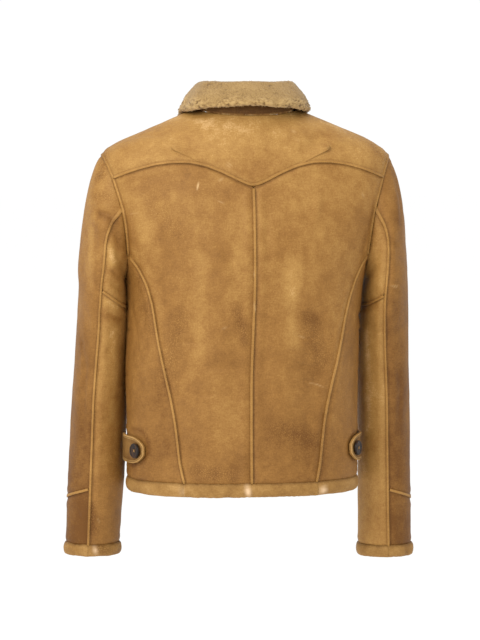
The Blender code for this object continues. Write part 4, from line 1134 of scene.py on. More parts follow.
@dataclass(frozen=True)
class Fleece:
    """Clipped sheep's wool.

    To the eye it is matt and soft, with close curls: darker in their pits as painted shade, and pale on their tips as
    the wool's own colour. Colours are sRGB hex.
    Sizes are in mm, and noise comes as size, detail and roughness.
    """

    name: str
    deep: str = "4A2E10"
    middle: str = "8E7042"
    light: str = "B0905C"
    curls: tuple[float, float, float] = (2.0, 3.0, 0.7)
    clouds: tuple[float, float, float] = (30.0, 3.0, 0.5)

    def make(self) -> bpy.types.Material:
        """Makes the material.

        Returns:
            A material that reads the attribute tone.
        """
        material, tree, shader = new_material(self.name)
        where = add(tree, "TexCoord").outputs["Object"]
        tone = add(tree, "Attribute", settings={"attribute_name": "tone"}).outputs["Fac"]
        curls, clouds = (
            add(
                tree, "TexNoise", {"Vector": where, "Scale": 1 / (size * MM), "Detail": detail, "Roughness": rough}
            ).outputs["Fac"]
            for size, detail, rough in (self.curls, self.clouds)
        )
        # Darker where the curl noise is low, in the pits that the same noise bumps in, as painted shade; paler on the
        # tips.
        value: object = -0.30
        for source, weight in ((curls, 1.1), (clouds, 0.5), (tone, 1.0)):
            value = add(tree, "Math", {0: source, 1: weight, 2: value}, {"operation": "MULTIPLY_ADD"}).outputs[0]
        ramp = add(tree, "ValToRGB", {"Fac": value})
        stops = ramp.color_ramp.elements
        stops[0].position, stops[0].color = 0.10, linear(self.deep)
        stops[1].position, stops[1].color = 0.90, linear(self.light)
        stops.new(0.45).color = linear(self.middle)
        # Single wool fibres are 0.03 mm thick. The bump is drawn at the size of a lock of them, so that it shows.
        bump = add(tree, "Bump", {"Strength": 0.8, "Distance": 1.6 * MM, "Height": curls}).outputs["Normal"]
        tree.links.new(ramp.outputs["Color"], shader.inputs["Base Color"])
        tree.links.new(bump, shader.inputs["Normal"])
        shader.inputs["Roughness"].default_value = 0.95
        shader.inputs["Specular IOR Level"].default_value = 0.12
        shader.inputs["Sheen Weight"].default_value = 0.15
        shader.inputs["Sheen Roughness"].default_value = 0.6
        return material


@dataclass(frozen=True)
class Thread:
    """Waxed polyester sewing thread: a dull shine on a tan twist."""

    name: str = "waxed_sewing_thread"
    colour: str = "99703A"
    twist: float = 0.5

    def make(self) -> bpy.types.Material:
        """Makes the material.

        Returns:
            A material with a twist drawn at the thread's own 0.5 mm.
        """
        material, tree, shader = new_material(self.name)
        where = add(tree, "TexCoord").outputs["Object"]
        twist = add(tree, "TexNoise", {"Vector": where, "Scale": 1 / (self.twist * MM), "Detail": 1.0}).outputs["Fac"]
        bump = add(tree, "Bump", {"Strength": 0.3, "Distance": 0.2 * MM, "Height": twist}).outputs["Normal"]
        tree.links.new(bump, shader.inputs["Normal"])
        shader.inputs["Base Color"].default_value = linear(self.colour)
        shader.inputs["Roughness"].default_value = 0.6
        return material


@dataclass(frozen=True)
class Horn:
    """Turned and polished buffalo horn: near black, with brown streaks under a soft gloss."""

    name: str = "polished_dark_horn"
    dark: str = "140D08"
    brown: str = "4A2C16"
    streak: float = 4.0

    def make(self) -> bpy.types.Material:
        """Makes the material.

        Returns:
            A material with streaks 4 mm apart that run one way.
        """
        material, tree, shader = new_material(self.name)
        where = add(tree, "TexCoord").outputs["Object"]
        turned = add(
            tree, "Mapping", {"Vector": where, "Rotation": (0.4, 0.2, 0.7), "Scale": (1.0, 1.0, 0.2)}
        ).outputs["Vector"]
        streaks = add(
            tree, "TexNoise", {"Vector": turned, "Scale": 1 / (self.streak * MM), "Detail": 4.0, "Roughness": 0.65}
        ).outputs["Fac"]
        ramp = add(tree, "ValToRGB", {"Fac": streaks})
        stops = ramp.color_ramp.elements
        stops[0].position, stops[0].color = 0.45, linear(self.dark)
        stops[1].position, stops[1].color = 0.78, linear(self.brown)
        rough = add(tree, "Math", {0: streaks, 1: 0.2, 2: 0.32}, {"operation": "MULTIPLY_ADD"}).outputs[0]
        tree.links.new(ramp.outputs["Color"], shader.inputs["Base Color"])
        tree.links.new(rough, shader.inputs["Roughness"])
        shader.inputs["Specular IOR Level"].default_value = 0.25
        return material


@dataclass
class Finishes:
    """Every material of the jacket."""

    # The panels: clouded warm brown with pale scuffs, and a low waxed sheen over fine grain.
    hide: bpy.types.Material = field(default_factory=lambda: Hide("waxed_sheepskin_hide").make())
    # The strips over the seams: lighter and a little glossier than the panels.
    ridge: bpy.types.Material = field(
        default_factory=lambda: Hide(
            "rubbed_seam_ridge_hide", deep="704A1C", middle="996F36", light="B08448", roughness=0.54
        ).make()
    )
    # The rolled hem and cuffs: worn paler and duller, with the palest knots.
    rolled: bpy.types.Material = field(
        default_factory=lambda: Hide(
            "rolled_edge_hide", deep="6C471C", middle="906A36", light="A9824C", scar="DDBB93", roughness=0.66
        ).make()
    )
    # The collar: matt golden wool, with painted shade between its curls.
    fleece: bpy.types.Material = field(default_factory=lambda: Fleece("curly_collar_wool").make())
    # The inside of every wall: the same wool, clipped short and paler.
    wool: bpy.types.Material = field(
        default_factory=lambda: Fleece(
            "clipped_inside_wool", deep="7A6240", middle="A9906A", light="C6B18D", curls=(3.2, 3.0, 0.7)
        ).make()
    )
    # The stitches: small dull tan points beside the strips.
    thread: bpy.types.Material = field(default_factory=lambda: Thread().make())
    # The buttons: near black brown with faint streaks and a soft gloss.
    horn: bpy.types.Material = field(default_factory=lambda: Horn().make())


# ------------------------------------------------------------------ the pieces


@dataclass(frozen=True)
class Cut:
    """What a piece of hide was cut to: the size round it and its own area, in metres."""

    wide: float
    long: float
    area: float


@dataclass
class Walls:
    """The walls of hide: each panel's cut, its subdivision, how dark its hide is, with painted light that falls off
    towards the hem, and how deep the painted shade along its seams is.
    """

    relief: Relief
    finishes: Finishes
    rim_crease: float = 0.93
    shade_width: float = 1.5 * MM
    wool_rise: float = 1.1 * MM
    wool_size: float = 5.0 * MM
    cuts: dict[str, Cut] = field(
        default_factory=lambda: {
            "back_yoke": Cut(0.44, 0.17, 0.053),
            "back": Cut(0.23, 0.49, 0.085),
            "side": Cut(0.19, 0.47, 0.069),
            "front": Cut(0.25, 0.60, 0.117),
            "top_sleeve": Cut(0.19, 0.60, 0.083),
            "under_sleeve_upper": Cut(0.11, 0.22, 0.0177),
            "under_sleeve_lower": Cut(0.19, 0.42, 0.064),
            "cuff_panel": Cut(0.135, 0.10, 0.0117),
        }
    )
    # Each panel's tone at its top and at its hem: partly the hide's own tone and partly painted light, lighter at the
    # top and darker towards the hem as the light falls off from above, and lighter on the lower right under sleeve,
    # where the light reaches it.
    tones: dict[str, tuple[float, float]] = field(
        default_factory=lambda: {
            "back_yoke": (0.22, 0.16),
            "back_left": (0.04, -0.06),
            "back_right": (0.12, -0.12),
            "side_left": (-0.10, -0.16),
            "side_right": (-0.06, -0.12),
            "top_sleeve_left": (0.10, -0.34),
            "top_sleeve_right": (-0.06, -0.32),
            "under_sleeve_upper_left": (0.06, 0.20),
            "under_sleeve_upper_right": (0.06, 0.22),
            "under_sleeve_lower_left": (0.20, -0.12),
            "under_sleeve_lower_right": (0.30, 0.14),
            "cuff_panel_left": (-0.36, -0.42),
            "cuff_panel_right": (-0.28, -0.32),
        }
    )
    carriers: dict[str, str] = field(
        default_factory=lambda: {
            "seam_stitches": "back_yoke",
            "strip_yoke": "back_yoke",
            "strip_centre_back": "back_left",
            "strip_side_back": "side",
            "strip_side_front": "front",
            "strip_armhole": "top_sleeve",
            "strip_sleeve": "top_sleeve",
            "strip_elbow": "under_sleeve_upper",
            "strip_cuff": "cuff_panel",
            "hem_back": "back",
            "hem_side": "side",
            "hem_front": "front",
            "cuff_roll_outer": "cuff_panel",
            "cuff_roll_inner": "under_sleeve_lower",
            "tab": "side",
            "front_button": "front_left",
        }
    )
    seam_shade: dict[str, float] = field(
        default_factory=lambda: {"back": 0.5, "side": 0.45, "back_yoke": 0.25, "top_sleeve": 0.35}
    )
    finer_outside: tuple[str, ...] = ("back_left", "back_right")
    evened_outside: tuple[str, ...] = ("back_yoke",)
    coarser: tuple[str, ...] = ("under_sleeve_upper",)
    evening_rounds: int = 30
    arch_rounds: int = 150
    arch_aside: float = 112 * MM
    arch_down: float = 58 * MM
    arch_reach: float = 34 * MM

    def build(self) -> dict[str, bpy.types.Object]:
        """Builds every panel.

        Returns:
            The panels by the names of their solids.
        """
        made = {}
        for kind in self.cuts:
            for node in self._nodes_of(kind):
                made[node] = self._panel(node, kind)
        return made

    @staticmethod
    def _nodes_of(kind: str) -> list[str]:
        """The solids of a kind of panel: one across the middle, or one on each side."""
        return [kind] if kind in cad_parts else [f"{kind}_{side}" for side in SIDES]

    def _panel(self, node: str, kind: str) -> bpy.types.Object:
        """Builds one panel.

        Args:
            node: Its solid.
            kind: What it is, without its side.

        Returns:
            The panel.
        """
        piece = grown(f"panel_{node}", cad_mesh(node), 2 if kind in self.coarser else 3, self.rim_crease)
        if node in self.finer_outside or node in self.evened_outside:
            self._work_outside(piece, node in self.finer_outside)
        region = region_of(node)
        out = self.relief.forms[region].outward(points_of(piece.data))
        points = points_of(piece.data)
        facing = (normals_of(piece.data) * out).sum(axis=1)
        near_seam, ways = self.relief.seam_ways(points)
        shift = self.relief.shift(points, region, near_seam)
        lumps = clump_noise(points, self.wool_size, 7)
        inside = smooth_step(-facing * 2 - 0.6)
        shift -= out * (inside * lumps * self.wool_rise)[:, None]
        # Painted shade along the seams: darker next to each strip, most on the side below it and to the right, away
        # from the light.
        seam = np.exp(-((np.maximum(near_seam - 0.6 * MM, 0.0) / self.shade_width) ** 2)) * self.relief.shaded(ways)
        low, high = points[:, 2].min(), points[:, 2].max()
        # Painted light: the tone runs from the panel's top to its hem, darker lower down, on top of the hide's own
        # tone.
        tone = np.interp(points[:, 2], (low, high), self.tones.get(node, (0.0, -0.08))[::-1])
        paint_hide(piece.data, points, self.relief, tone, seam * self.seam_shade.get(kind, 0.4))
        move_points(piece.data, points + shift)
        turn_wool_in(piece.data, facing)
        dress(piece, (self.finishes.hide, self.finishes.wool), [node])
        return piece

    def _work_outside(self, piece: bpy.types.Object, finer: bool) -> None:
        """Evens the outer sheet of a panel, or cuts it once more, where its creases need it.

        Args:
            piece: The panel.
            finer: Whether it is cut, and else it is evened.
        """
        form = self.relief.forms[region_of(piece.name.removeprefix("panel_"))]
        work = bmesh.new()
        work.from_mesh(piece.data)
        sheet = [face for face in work.faces if face.material_index == 0]
        ways = np.array([face.normal for face in sheet])
        out = form.outward(np.array([face.calc_center_median() for face in sheet]))
        outer = 0 if (ways * out).sum(axis=1).mean() > 0 else 1
        if finer:
            edges = {edge for face in work.faces if face.material_index == outer for edge in face.edges}
            bmesh.ops.subdivide_edges(work, edges=list(edges), cuts=1, use_grid_fill=True, smooth=0.0)
        loose = [v for v in work.verts if all(face.material_index == outer for face in v.link_faces)]
        arches = [
            v for v in loose if hypot(abs(v.co.x) - self.arch_aside, v.co.z + self.arch_down) < self.arch_reach
        ]
        for verts, rounds in ((loose, self.evening_rounds), (arches, self.arch_rounds)):
            for _ in range(0 if finer else rounds):
                bmesh.ops.smooth_vert(work, verts=verts, factor=0.5, use_axis_x=True, use_axis_y=True, use_axis_z=True)
        work.to_mesh(piece.data)
        work.free()
        piece.data.shade_smooth()

def turn_wool_in(mesh: bpy.types.Mesh, facing: np.ndarray, below: float = -0.25) -> None:
    """Gives a mesh's faces their materials: the first where they look out, and the second where they look in.

    Args:
        mesh: The piece's mesh.
        facing: How far each vertex looks out, from -1 to 1.
        below: The mean from which a face looks in.
    """
    flat = np.empty(len(mesh.loops), np.int32)
    mesh.loops.foreach_get("vertex_index", flat)
    starts = np.empty(len(mesh.polygons), np.int32)
    mesh.polygons.foreach_get("loop_start", starts)
    mean = np.add.reduceat(facing[flat], starts) / np.diff(np.append(starts, len(flat)))
    mesh.polygons.foreach_set("material_index", (mean < below).astype(np.int32))


def region_of(node: str) -> Region:
    """The form that a solid wraps round, from its name.

    Args:
        node: The solid's name.

    Returns:
        The form.
    """
    if any(word in node for word in ("sleeve", "cuff", "elbow")):
        return Region.SLEEVE_LEFT if node.endswith("left") else Region.SLEEVE_RIGHT
    return Region.TRUNK


def paint_hide(
    mesh: bpy.types.Mesh, points: np.ndarray, relief: Relief, tone: float | np.ndarray, seam: float | np.ndarray
) -> None:
    """Stores what the hide materials read.

    Args:
        mesh: The piece's mesh.
        points: Its vertices before the relief moved them.
        relief: The jacket's relief.
        tone: How light its hide is, 0 for the usual one; on the walls it also holds painted light, darker towards the
            hem.
        seam: How much painted shade each vertex gets along seams, grooves and the tops of rolls, from 0 to 1.
    """
    # The tone holds painted light on the walls, the seam value is painted shade, and the cloud strokes carry painted
    # light and shade beside the hide's own clouds.
    paint(mesh, "tone", np.zeros(len(points)) + tone)
    paint(mesh, "seam", np.zeros(len(points)) + seam)
    paint(mesh, "scar", relief.painted(points, Mark.SCAR))
    paint(mesh, "blotch", relief.painted(points, Mark.BLOTCH))
    paint(mesh, "pebble", 0.16 + 0.84 * relief.painted(points, Mark.PEBBLE))


@dataclass
class Ridges:
    """The raised strips over the seams: narrow, round, sunk into the hide and sewn down along both edges."""

    relief: Relief
    finishes: Finishes
    rim_crease: float = 0.2
    narrowing: float = 0.78
    dome: float = 0.4 * MM
    sink: float = 1.0 * MM
    sink_armhole: float = 2.1 * MM
    foot: float = 1.35 * MM
    foot_width: float = 0.9 * MM
    longer: float = 3.0 * MM
    longer_top: dict[str, float] = field(
        default_factory=lambda: {
            "sleeve_back": 11 * MM, "sleeve_front": 8 * MM, "side_back": 8 * MM, "side_front": 6 * MM
        }
    )
    stitch_pitch: float = 3.4 * MM
    stitch_length: float = 2.3 * MM
    stitch_thickness: float = 0.5 * MM
    stitch_aside: float = 1.5 * MM

    def build(self) -> dict[str, bpy.types.Object]:
        """Builds every strip and one row of stitches along each of its edges.

        Returns:
            The strips and the stitches, by name.
        """
        made: dict[str, bpy.types.Object] = {}
        places, turns = [], []
        for node in sorted(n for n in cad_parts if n.startswith("strip")):
            piece, line = self._strip(node)
            made[node] = piece
            for aside in (-self.stitch_aside, self.stitch_aside):
                row = self._stitch_row(region_of(node), piece, line, aside)
                places.append(row[0])
                turns.append(row[1])
        shape = bmesh.new()
        bmesh.ops.create_uvsphere(shape, u_segments=4, v_segments=2, radius=1.0)
        stitches = joined("seam_stitches", shape, np.concatenate(places), np.concatenate(turns))
        dress(stitches, (self.finishes.thread,))
        made["seam_stitches"] = stitches
        return made

    def _strip(self, node: str) -> tuple[bpy.types.Object, np.ndarray]:
        """Builds one strip from its solid, and gives its middle line with it.

        Args:
            node: The strip's solid.

        Returns:
            The strip, and its middle line with one row a ring.
        """
        region = region_of(node)
        form = self.relief.forms[region]
        work = cad_mesh(node)
        line = self._shaped(work, node, form)
        piece = grown(f"ridge_{node.removeprefix('strip_')}", work, 2, self.rim_crease, square_ends=True)
        points = points_of(piece.data)
        out = form.outward(points)
        shift = self.relief.shift(points, region, np.zeros(len(points)))
        aside = points - path_distance(points, line)[2]
        aside -= out * (aside * out).sum(axis=1)[:, None]
        # Painted shade at the strip's feet, deepest on the side below it and to the right, away from the light.
        feet = smooth_step((np.linalg.norm(aside, axis=1) - self.foot) / self.foot_width)
        paint_hide(piece.data, points, self.relief, 0.0, 0.6 * feet * self.relief.shaded(aside))
        move_points(piece.data, points + shift - out * (self.sink_armhole if "armhole" in node else self.sink))
        dress(piece, (self.finishes.ridge,), [node])
        return piece, line

    def _shaped(self, work: bmesh.types.BMesh, node: str, form: Form) -> np.ndarray:
        """Makes a strip's edit mesh narrow, domed and a little longer.

        Args:
            work: The strip's edit mesh.
            node: Its solid.
            form: The form that it lies on.

        Returns:
            Its new middle line, one row a ring.
        """
        rings = rings_of(work)
        middles = [sum((vertex.co for vertex in ring), Vector()) / len(ring) for ring in rings]
        outs = form.outward(np.array(middles))
        for ring, middle, out in zip(rings, middles, outs):
            by_height = sorted(ring, key=lambda vertex: (vertex.co - middle).dot(Vector(out)))
            half = len(ring) // 2
            low, high = (sum((v.co for v in part), Vector()) / half for part in (by_height[:half], by_height[half:]))
            way = (high - low).normalized()
            for number, vertex in enumerate(by_height):
                offset = vertex.co - middle
                up = way * offset.dot(way)
                raised = self.dome if number >= half and (offset - up).length < self.foot else 0.0
                vertex.co = middle + up + (offset - up) * self.narrowing + way * raised
        kind = node.removeprefix("strip_").removesuffix("_left").removesuffix("_right")
        top_first = middles[0].z > middles[-1].z
        for first in (True, False):
            length = self.longer_top.get(kind, self.longer) if first == top_first else self.longer
            end, before = (0, 1) if first else (-1, -2)
            self._lengthen(rings[end], middles, end, before, length)
        return np.array(middles)

    def _lengthen(
        self, ring: Sequence[bmesh.types.BMVert], middles: list[Vector], end: int, before: int, length: float
    ) -> None:
        """Moves a strip's end ring on along the hide that it lies on.

        Args:
            ring: The end ring's corners.
            middles: The middles of all rings, of which the end one is changed.
            end: The end ring's place among them.
            before: The place of the ring next to it.
            length: How far the ring moves.
        """
        panels = self.relief.panels
        seat = panels.find_nearest(middles[end])[0]
        onward = (middles[end] - middles[before]).normalized() * length
        shift = panels.find_nearest(seat + onward)[0] - seat
        for vertex in ring:
            vertex.co += shift
        middles[end] = middles[end] + shift

    def _stitch_row(
        self, region: Region, piece: bpy.types.Object, line: np.ndarray, aside: float
    ) -> tuple[np.ndarray, np.ndarray]:
        """Places one row of stitches on a strip.

        Args:
            region: The form that the strip lies on.
            piece: The finished strip.
            line: Its middle line.
            aside: How far the row lies from the strip's middle.

        Returns:
            The stitches' places, and their axes as matrices.
        """
        lengths = np.concatenate([[0.0], np.cumsum(np.linalg.norm(np.diff(line, axis=0), axis=1))])
        count = int((lengths[-1] - 4 * MM) / self.stitch_pitch)
        at = np.linspace(2 * MM, lengths[-1] - 2 * MM, count)
        middles = np.stack([np.interp(at, lengths, line[:, axis]) for axis in range(3)], axis=1)
        along = np.gradient(middles, axis=0)
        along /= np.linalg.norm(along, axis=1)[:, None]
        out = self.relief.forms[region].outward(middles)
        out -= along * (out * along).sum(axis=1)[:, None]
        out /= np.linalg.norm(out, axis=1)[:, None]
        across = np.cross(along, out)
        tree = BVHTree.FromPolygons(
            [vertex.co for vertex in piece.data.vertices], [list(p.vertices) for p in piece.data.polygons]
        )
        sizes = Matrix.Diagonal((self.stitch_length / 2, self.stitch_thickness / 2, self.stitch_thickness / 2))
        places, turns = [], []
        for middle, way, side, forward in zip(middles, out, across, along):
            start = Vector(middle + side * aside + way * 0.012)
            hit, normal, _, _ = tree.ray_cast(start, Vector(-way), 0.03)
            if hit is None:
                continue
            normal = normal if normal.dot(Vector(way)) > 0 else -normal
            forward = (Vector(forward) - normal * normal.dot(Vector(forward))).normalized()
            axes = Matrix((forward, normal.cross(forward), normal)).transposed()
            places.append(hit + normal * self.stitch_thickness * 0.2)
            turns.append(np.array(axes @ sizes))
        return np.array(places), np.array(turns)


@dataclass
class Rolls:
    """The rolled hem and cuffs: soft, rubbed pale and a little lumpy."""

    relief: Relief
    finishes: Finishes
    rim_crease: float = 0.18
    stretch: float = 0.14 * MM
    lift: float = 0.9 * MM
    lift_fade: float = 7.0 * MM
    seen: tuple[str, ...] = ("hem_back", "cuff_roll_outer")
    lump_size: float = 12 * MM
    lump_height: float = 0.7 * MM

    def build(self) -> dict[str, bpy.types.Object]:
        """Builds the six lengths of the hem and the halves of the cuffs.

        Returns:
            The rolls by the names of their solids.
        """
        made = {}
        for node in sorted(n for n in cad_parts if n.startswith(("hem_", "cuff_roll_"))):
            work = cad_mesh(node)
            self._stretch(work)
            levels = 3 if node.startswith(self.seen) else 2
            piece = grown(f"rolled_{node}", work, levels, self.rim_crease, square_ends=True)
            region = region_of(node)
            points = points_of(piece.data)
            normals = normals_of(piece.data)
            lumps = lattice_noise(points, self.lump_size, 11) + 0.5 * lattice_noise(points, self.lump_size / 3, 12)
            facing = (normals * self.relief.forms[region].outward(points)).sum(axis=1)
            from_top = cad_points(node)[:, 2].max() - points[:, 2]
            lifted = self.lift * (1 - smooth_step(from_top / self.lift_fade))
            moved = points + normals * (lumps * self.lump_height + 0.4 * MM)[:, None]
            moved[:, 2] += lifted
            # Painted shade along the roll's top, where it meets the panel above.
            paint_hide(piece.data, points, self.relief, lumps * 0.12, 0.55 * np.exp(-((from_top / (2.6 * MM)) ** 2)))
            move_points(piece.data, moved)
            turn_wool_in(piece.data, facing)
            dress(piece, (self.finishes.rolled, self.finishes.wool), [node])
            made[node] = piece
        return made

    def _stretch(self, work: bmesh.types.BMesh) -> None:
        """Moves both ends out a little, so that the lengths of a roll close up.

        Args:
            work: The roll's edit mesh.
        """
        for group in smooth_groups(work)[:2]:
            way = sum((face.normal * face.calc_area() for face in group), Vector()).normalized()
            bmesh.ops.translate(work, verts=list({v for face in group for v in face.verts}), vec=way * self.stretch)


@dataclass
class Collar:
    """The folded collar: curly wool where it is turned out, and hide on the side that faces the back."""

    relief: Relief
    finishes: Finishes
    cut: Cut = Cut(0.56, 0.125, 0.059)
    rim_crease: float = 0.12
    curl_size: float = 4.6 * MM
    curl_height: float = 2.2 * MM
    fuzz_size: float = 2.2 * MM
    fuzz_height: float = 0.9 * MM
    swell: float = 0.3 * MM
    level_rise: float = 2.8 * MM
    level_width: float = 42 * MM
    fall_from: float = 0.016
    fall_fade: float = 0.022
    fall_rise: float = 5.0 * MM
    corner_pull: float = 8.0 * MM
    # How much darker the hide on the back of the stand is, as painted shade under the fall.
    stand_painted_shade: float = 0.15
    neck_drop: float = 4.8 * MM
    neck_fade: float = 8 * MM
    coarse_from: float = 0.033
    tufts: int = 4300
    tuft_size: float = 1.3 * MM
    seed: int = 8

    def build(self) -> None:
        """Builds the collar and the small curls that stand out of its wool."""
        piece = grown("collar_fleece", cad_mesh("collar"), 3, self.rim_crease)
        mesh = piece.data
        points, normals = points_of(mesh), normals_of(mesh)
        wool = self._wool(mesh) * (1 - self._neck(points))
        curls = clump_noise(points, self.curl_size, 2)
        fuzz = clump_noise(points, self.fuzz_size, 4)
        coarse = self._coarse(points)
        height = self.swell + (curls * self.curl_height + fuzz * self.fuzz_height) * (0.3 + 0.7 * coarse) - 0.5 * MM
        moved = points + normals * (height * wool)[:, None]
        moved[:, 2] -= self.neck_drop * self._neck(points)
        moved += self._settled(points)
        # The wool is darker in the pits between its curls, as painted shade, and paler on their tips, as the wool's own
        # colour.
        tone = ((curls - 0.55) * 1.1 + (fuzz - 0.5) * 0.9) * coarse - 0.12 * coarse
        # The hide on the back of the stand is darkened as painted shade under the fall, by its tone and by the painted
        # seam shade.
        paint(mesh, "tone", tone * wool - (1 - wool) * self.stand_painted_shade)
        paint(mesh, "seam", (1 - wool) * 0.75)
        for name in ("scar", "blotch", "pebble"):
            paint(mesh, name, np.zeros(len(points)))
        move_points(mesh, moved)
        turn_wool_in(mesh, wool, below=0.5)
        dress(piece, (self.finishes.fleece, self.finishes.hide), ["collar"])
        curls = self._tufts(mesh, wool)

    def _settled(self, points: np.ndarray) -> np.ndarray:
        """How the worn collar has settled: its fold level, its fall up at the back, and its lower corners drawn in.

        Args:
            points: One row a point.

        Returns:
            One row a point to add to it.
        """
        behind = smooth_step((points[:, 1] + 0.07) / 0.05)
        middle = np.exp(-((points[:, 0] / self.level_width) ** 2)) * behind
        low = (1 - smooth_step((points[:, 2] - self.fall_from) / self.fall_fade)) * (1 - self._inner(points))
        aside = np.clip(points[:, 0] / 0.10, -1.0, 1.0)
        shift = np.zeros_like(points)
        shift[:, 0] = -aside * np.abs(aside) * low * behind * self.corner_pull
        shift[:, 2] = self.level_rise * middle * smooth_step((points[:, 2] - 0.020) / 0.030)
        shift[:, 2] += self.fall_rise * middle * low
        return shift

    @staticmethod
    def _wool(mesh: bpy.types.Mesh) -> np.ndarray:
        """1 at the vertices of the larger sheet and of the rims, which are wool, and else 0.

        Args:
            mesh: The collar's mesh.

        Returns:
            One number a vertex.
        """
        kinds = np.empty(len(mesh.polygons), np.int32)
        mesh.polygons.foreach_get("material_index", kinds)
        flat = np.empty(len(mesh.loops), np.int32)
        mesh.loops.foreach_get("vertex_index", flat)
        totals = np.empty(len(mesh.polygons), np.int32)
        mesh.polygons.foreach_get("loop_total", totals)
        wool = np.ones(len(mesh.vertices))
        wool[flat[np.repeat(kinds == 1, totals)]] = 0.0
        return wool

    def _coarse(self, points: np.ndarray) -> np.ndarray:
        """How coarse the wool is: clipped fine over the fold, and left in open curls down the fall and in front."""
        noise = lattice_noise(points, 16 * MM, 21) * 0.009
        return 0.15 + 0.85 * smooth_step((self.coarse_from - points[:, 2] + noise) / 0.014)

    def _neck(self, points: np.ndarray) -> np.ndarray:
        """1 at the collar's foot, where it is sewn into the neckline, and 0 away from it.

        Args:
            points: One row a point.

        Returns:
            One share a point.
        """
        foot_below = 0.03
        far = nearest_on(self.relief.panels, points, self.neck_fade)[0]
        near = np.where(points[:, 2] < foot_below, 1 - smooth_step(far / self.neck_fade), 0.0)
        return near * self._inner(points)

    @staticmethod
    def _inner(points: np.ndarray) -> np.ndarray:
        """1 inside the neck's own ring, and 0 out at the fall.

        Args:
            points: One row a point.

        Returns:
            One share a point.
        """
        half_wide, half_deep = 0.083, 0.070
        away = np.hypot(points[:, 0] / half_wide, points[:, 1] / half_deep)
        return 1 - smooth_step((away - 1.0) / 0.12)

    def _tufts(self, mesh: bpy.types.Mesh, wool: np.ndarray) -> bpy.types.Object:
        """Scatters small curls over the wool that shows, more and larger where it is coarse.

        Args:
            mesh: The collar's mesh.
            wool: 1 at its vertices that are wool, and else 0.

        Returns:
            The curls, as one piece.
        """
        rng = np.random.default_rng(self.seed)
        points, normals = points_of(mesh), normals_of(mesh)
        shown = np.flatnonzero(wool > 0.5)
        coarse = self._coarse(points[shown])
        chosen = rng.choice(shown, size=self.tufts, replace=False, p=coarse / coarse.sum())
        out = normals[chosen] + rng.normal(0, 0.5, (self.tufts, 3))
        out /= np.linalg.norm(out, axis=1)[:, None]
        side = np.cross(out, rng.normal(0, 1, (self.tufts, 3)))
        side /= np.linalg.norm(side, axis=1)[:, None]
        other = np.cross(out, side)
        sizes = self.tuft_size * rng.uniform(0.6, 1.2, self.tufts) * (0.6 + 0.4 * self._coarse(points[chosen]))
        turns = np.stack([side, other, out], axis=2) * sizes[:, None, None]
        places = points[chosen] + rng.normal(0, 0.4 * MM, (self.tufts, 3)) - normals[chosen] * 0.3 * MM
        tufts = joined("collar_curls", self._curl(), places, turns)
        tones = rng.uniform(-0.06, 0.16, self.tufts)
        paint(tufts.data, "tone", np.repeat(tones, len(tufts.data.vertices) // self.tufts))
        dress(tufts, (self.finishes.fleece,))
        return tufts

    @staticmethod
    def _curl() -> bmesh.types.BMesh:
        """One bent lock of wool, one unit high: a small cone, bent over by its rings.

        Returns:
            Its edit mesh.
        """
        shape = bmesh.new()
        bmesh.ops.create_cone(shape, cap_ends=True, segments=4, radius1=0.55, radius2=0.28, depth=1.4)
        bmesh.ops.translate(shape, verts=shape.verts, vec=(0.0, 0.0, 0.3))
        standing = [edge for edge in shape.edges if abs(edge.verts[0].co.z - edge.verts[1].co.z) > 0.5]
        bmesh.ops.subdivide_edges(shape, edges=standing, cuts=2)
        for vertex in shape.verts:
            height = vertex.co.z + 0.4
            vertex.co.x += 0.42 * sin(height * 2.0)
            vertex.co.y += 0.20 * (1 - cos(height * 2.6))
        return shape


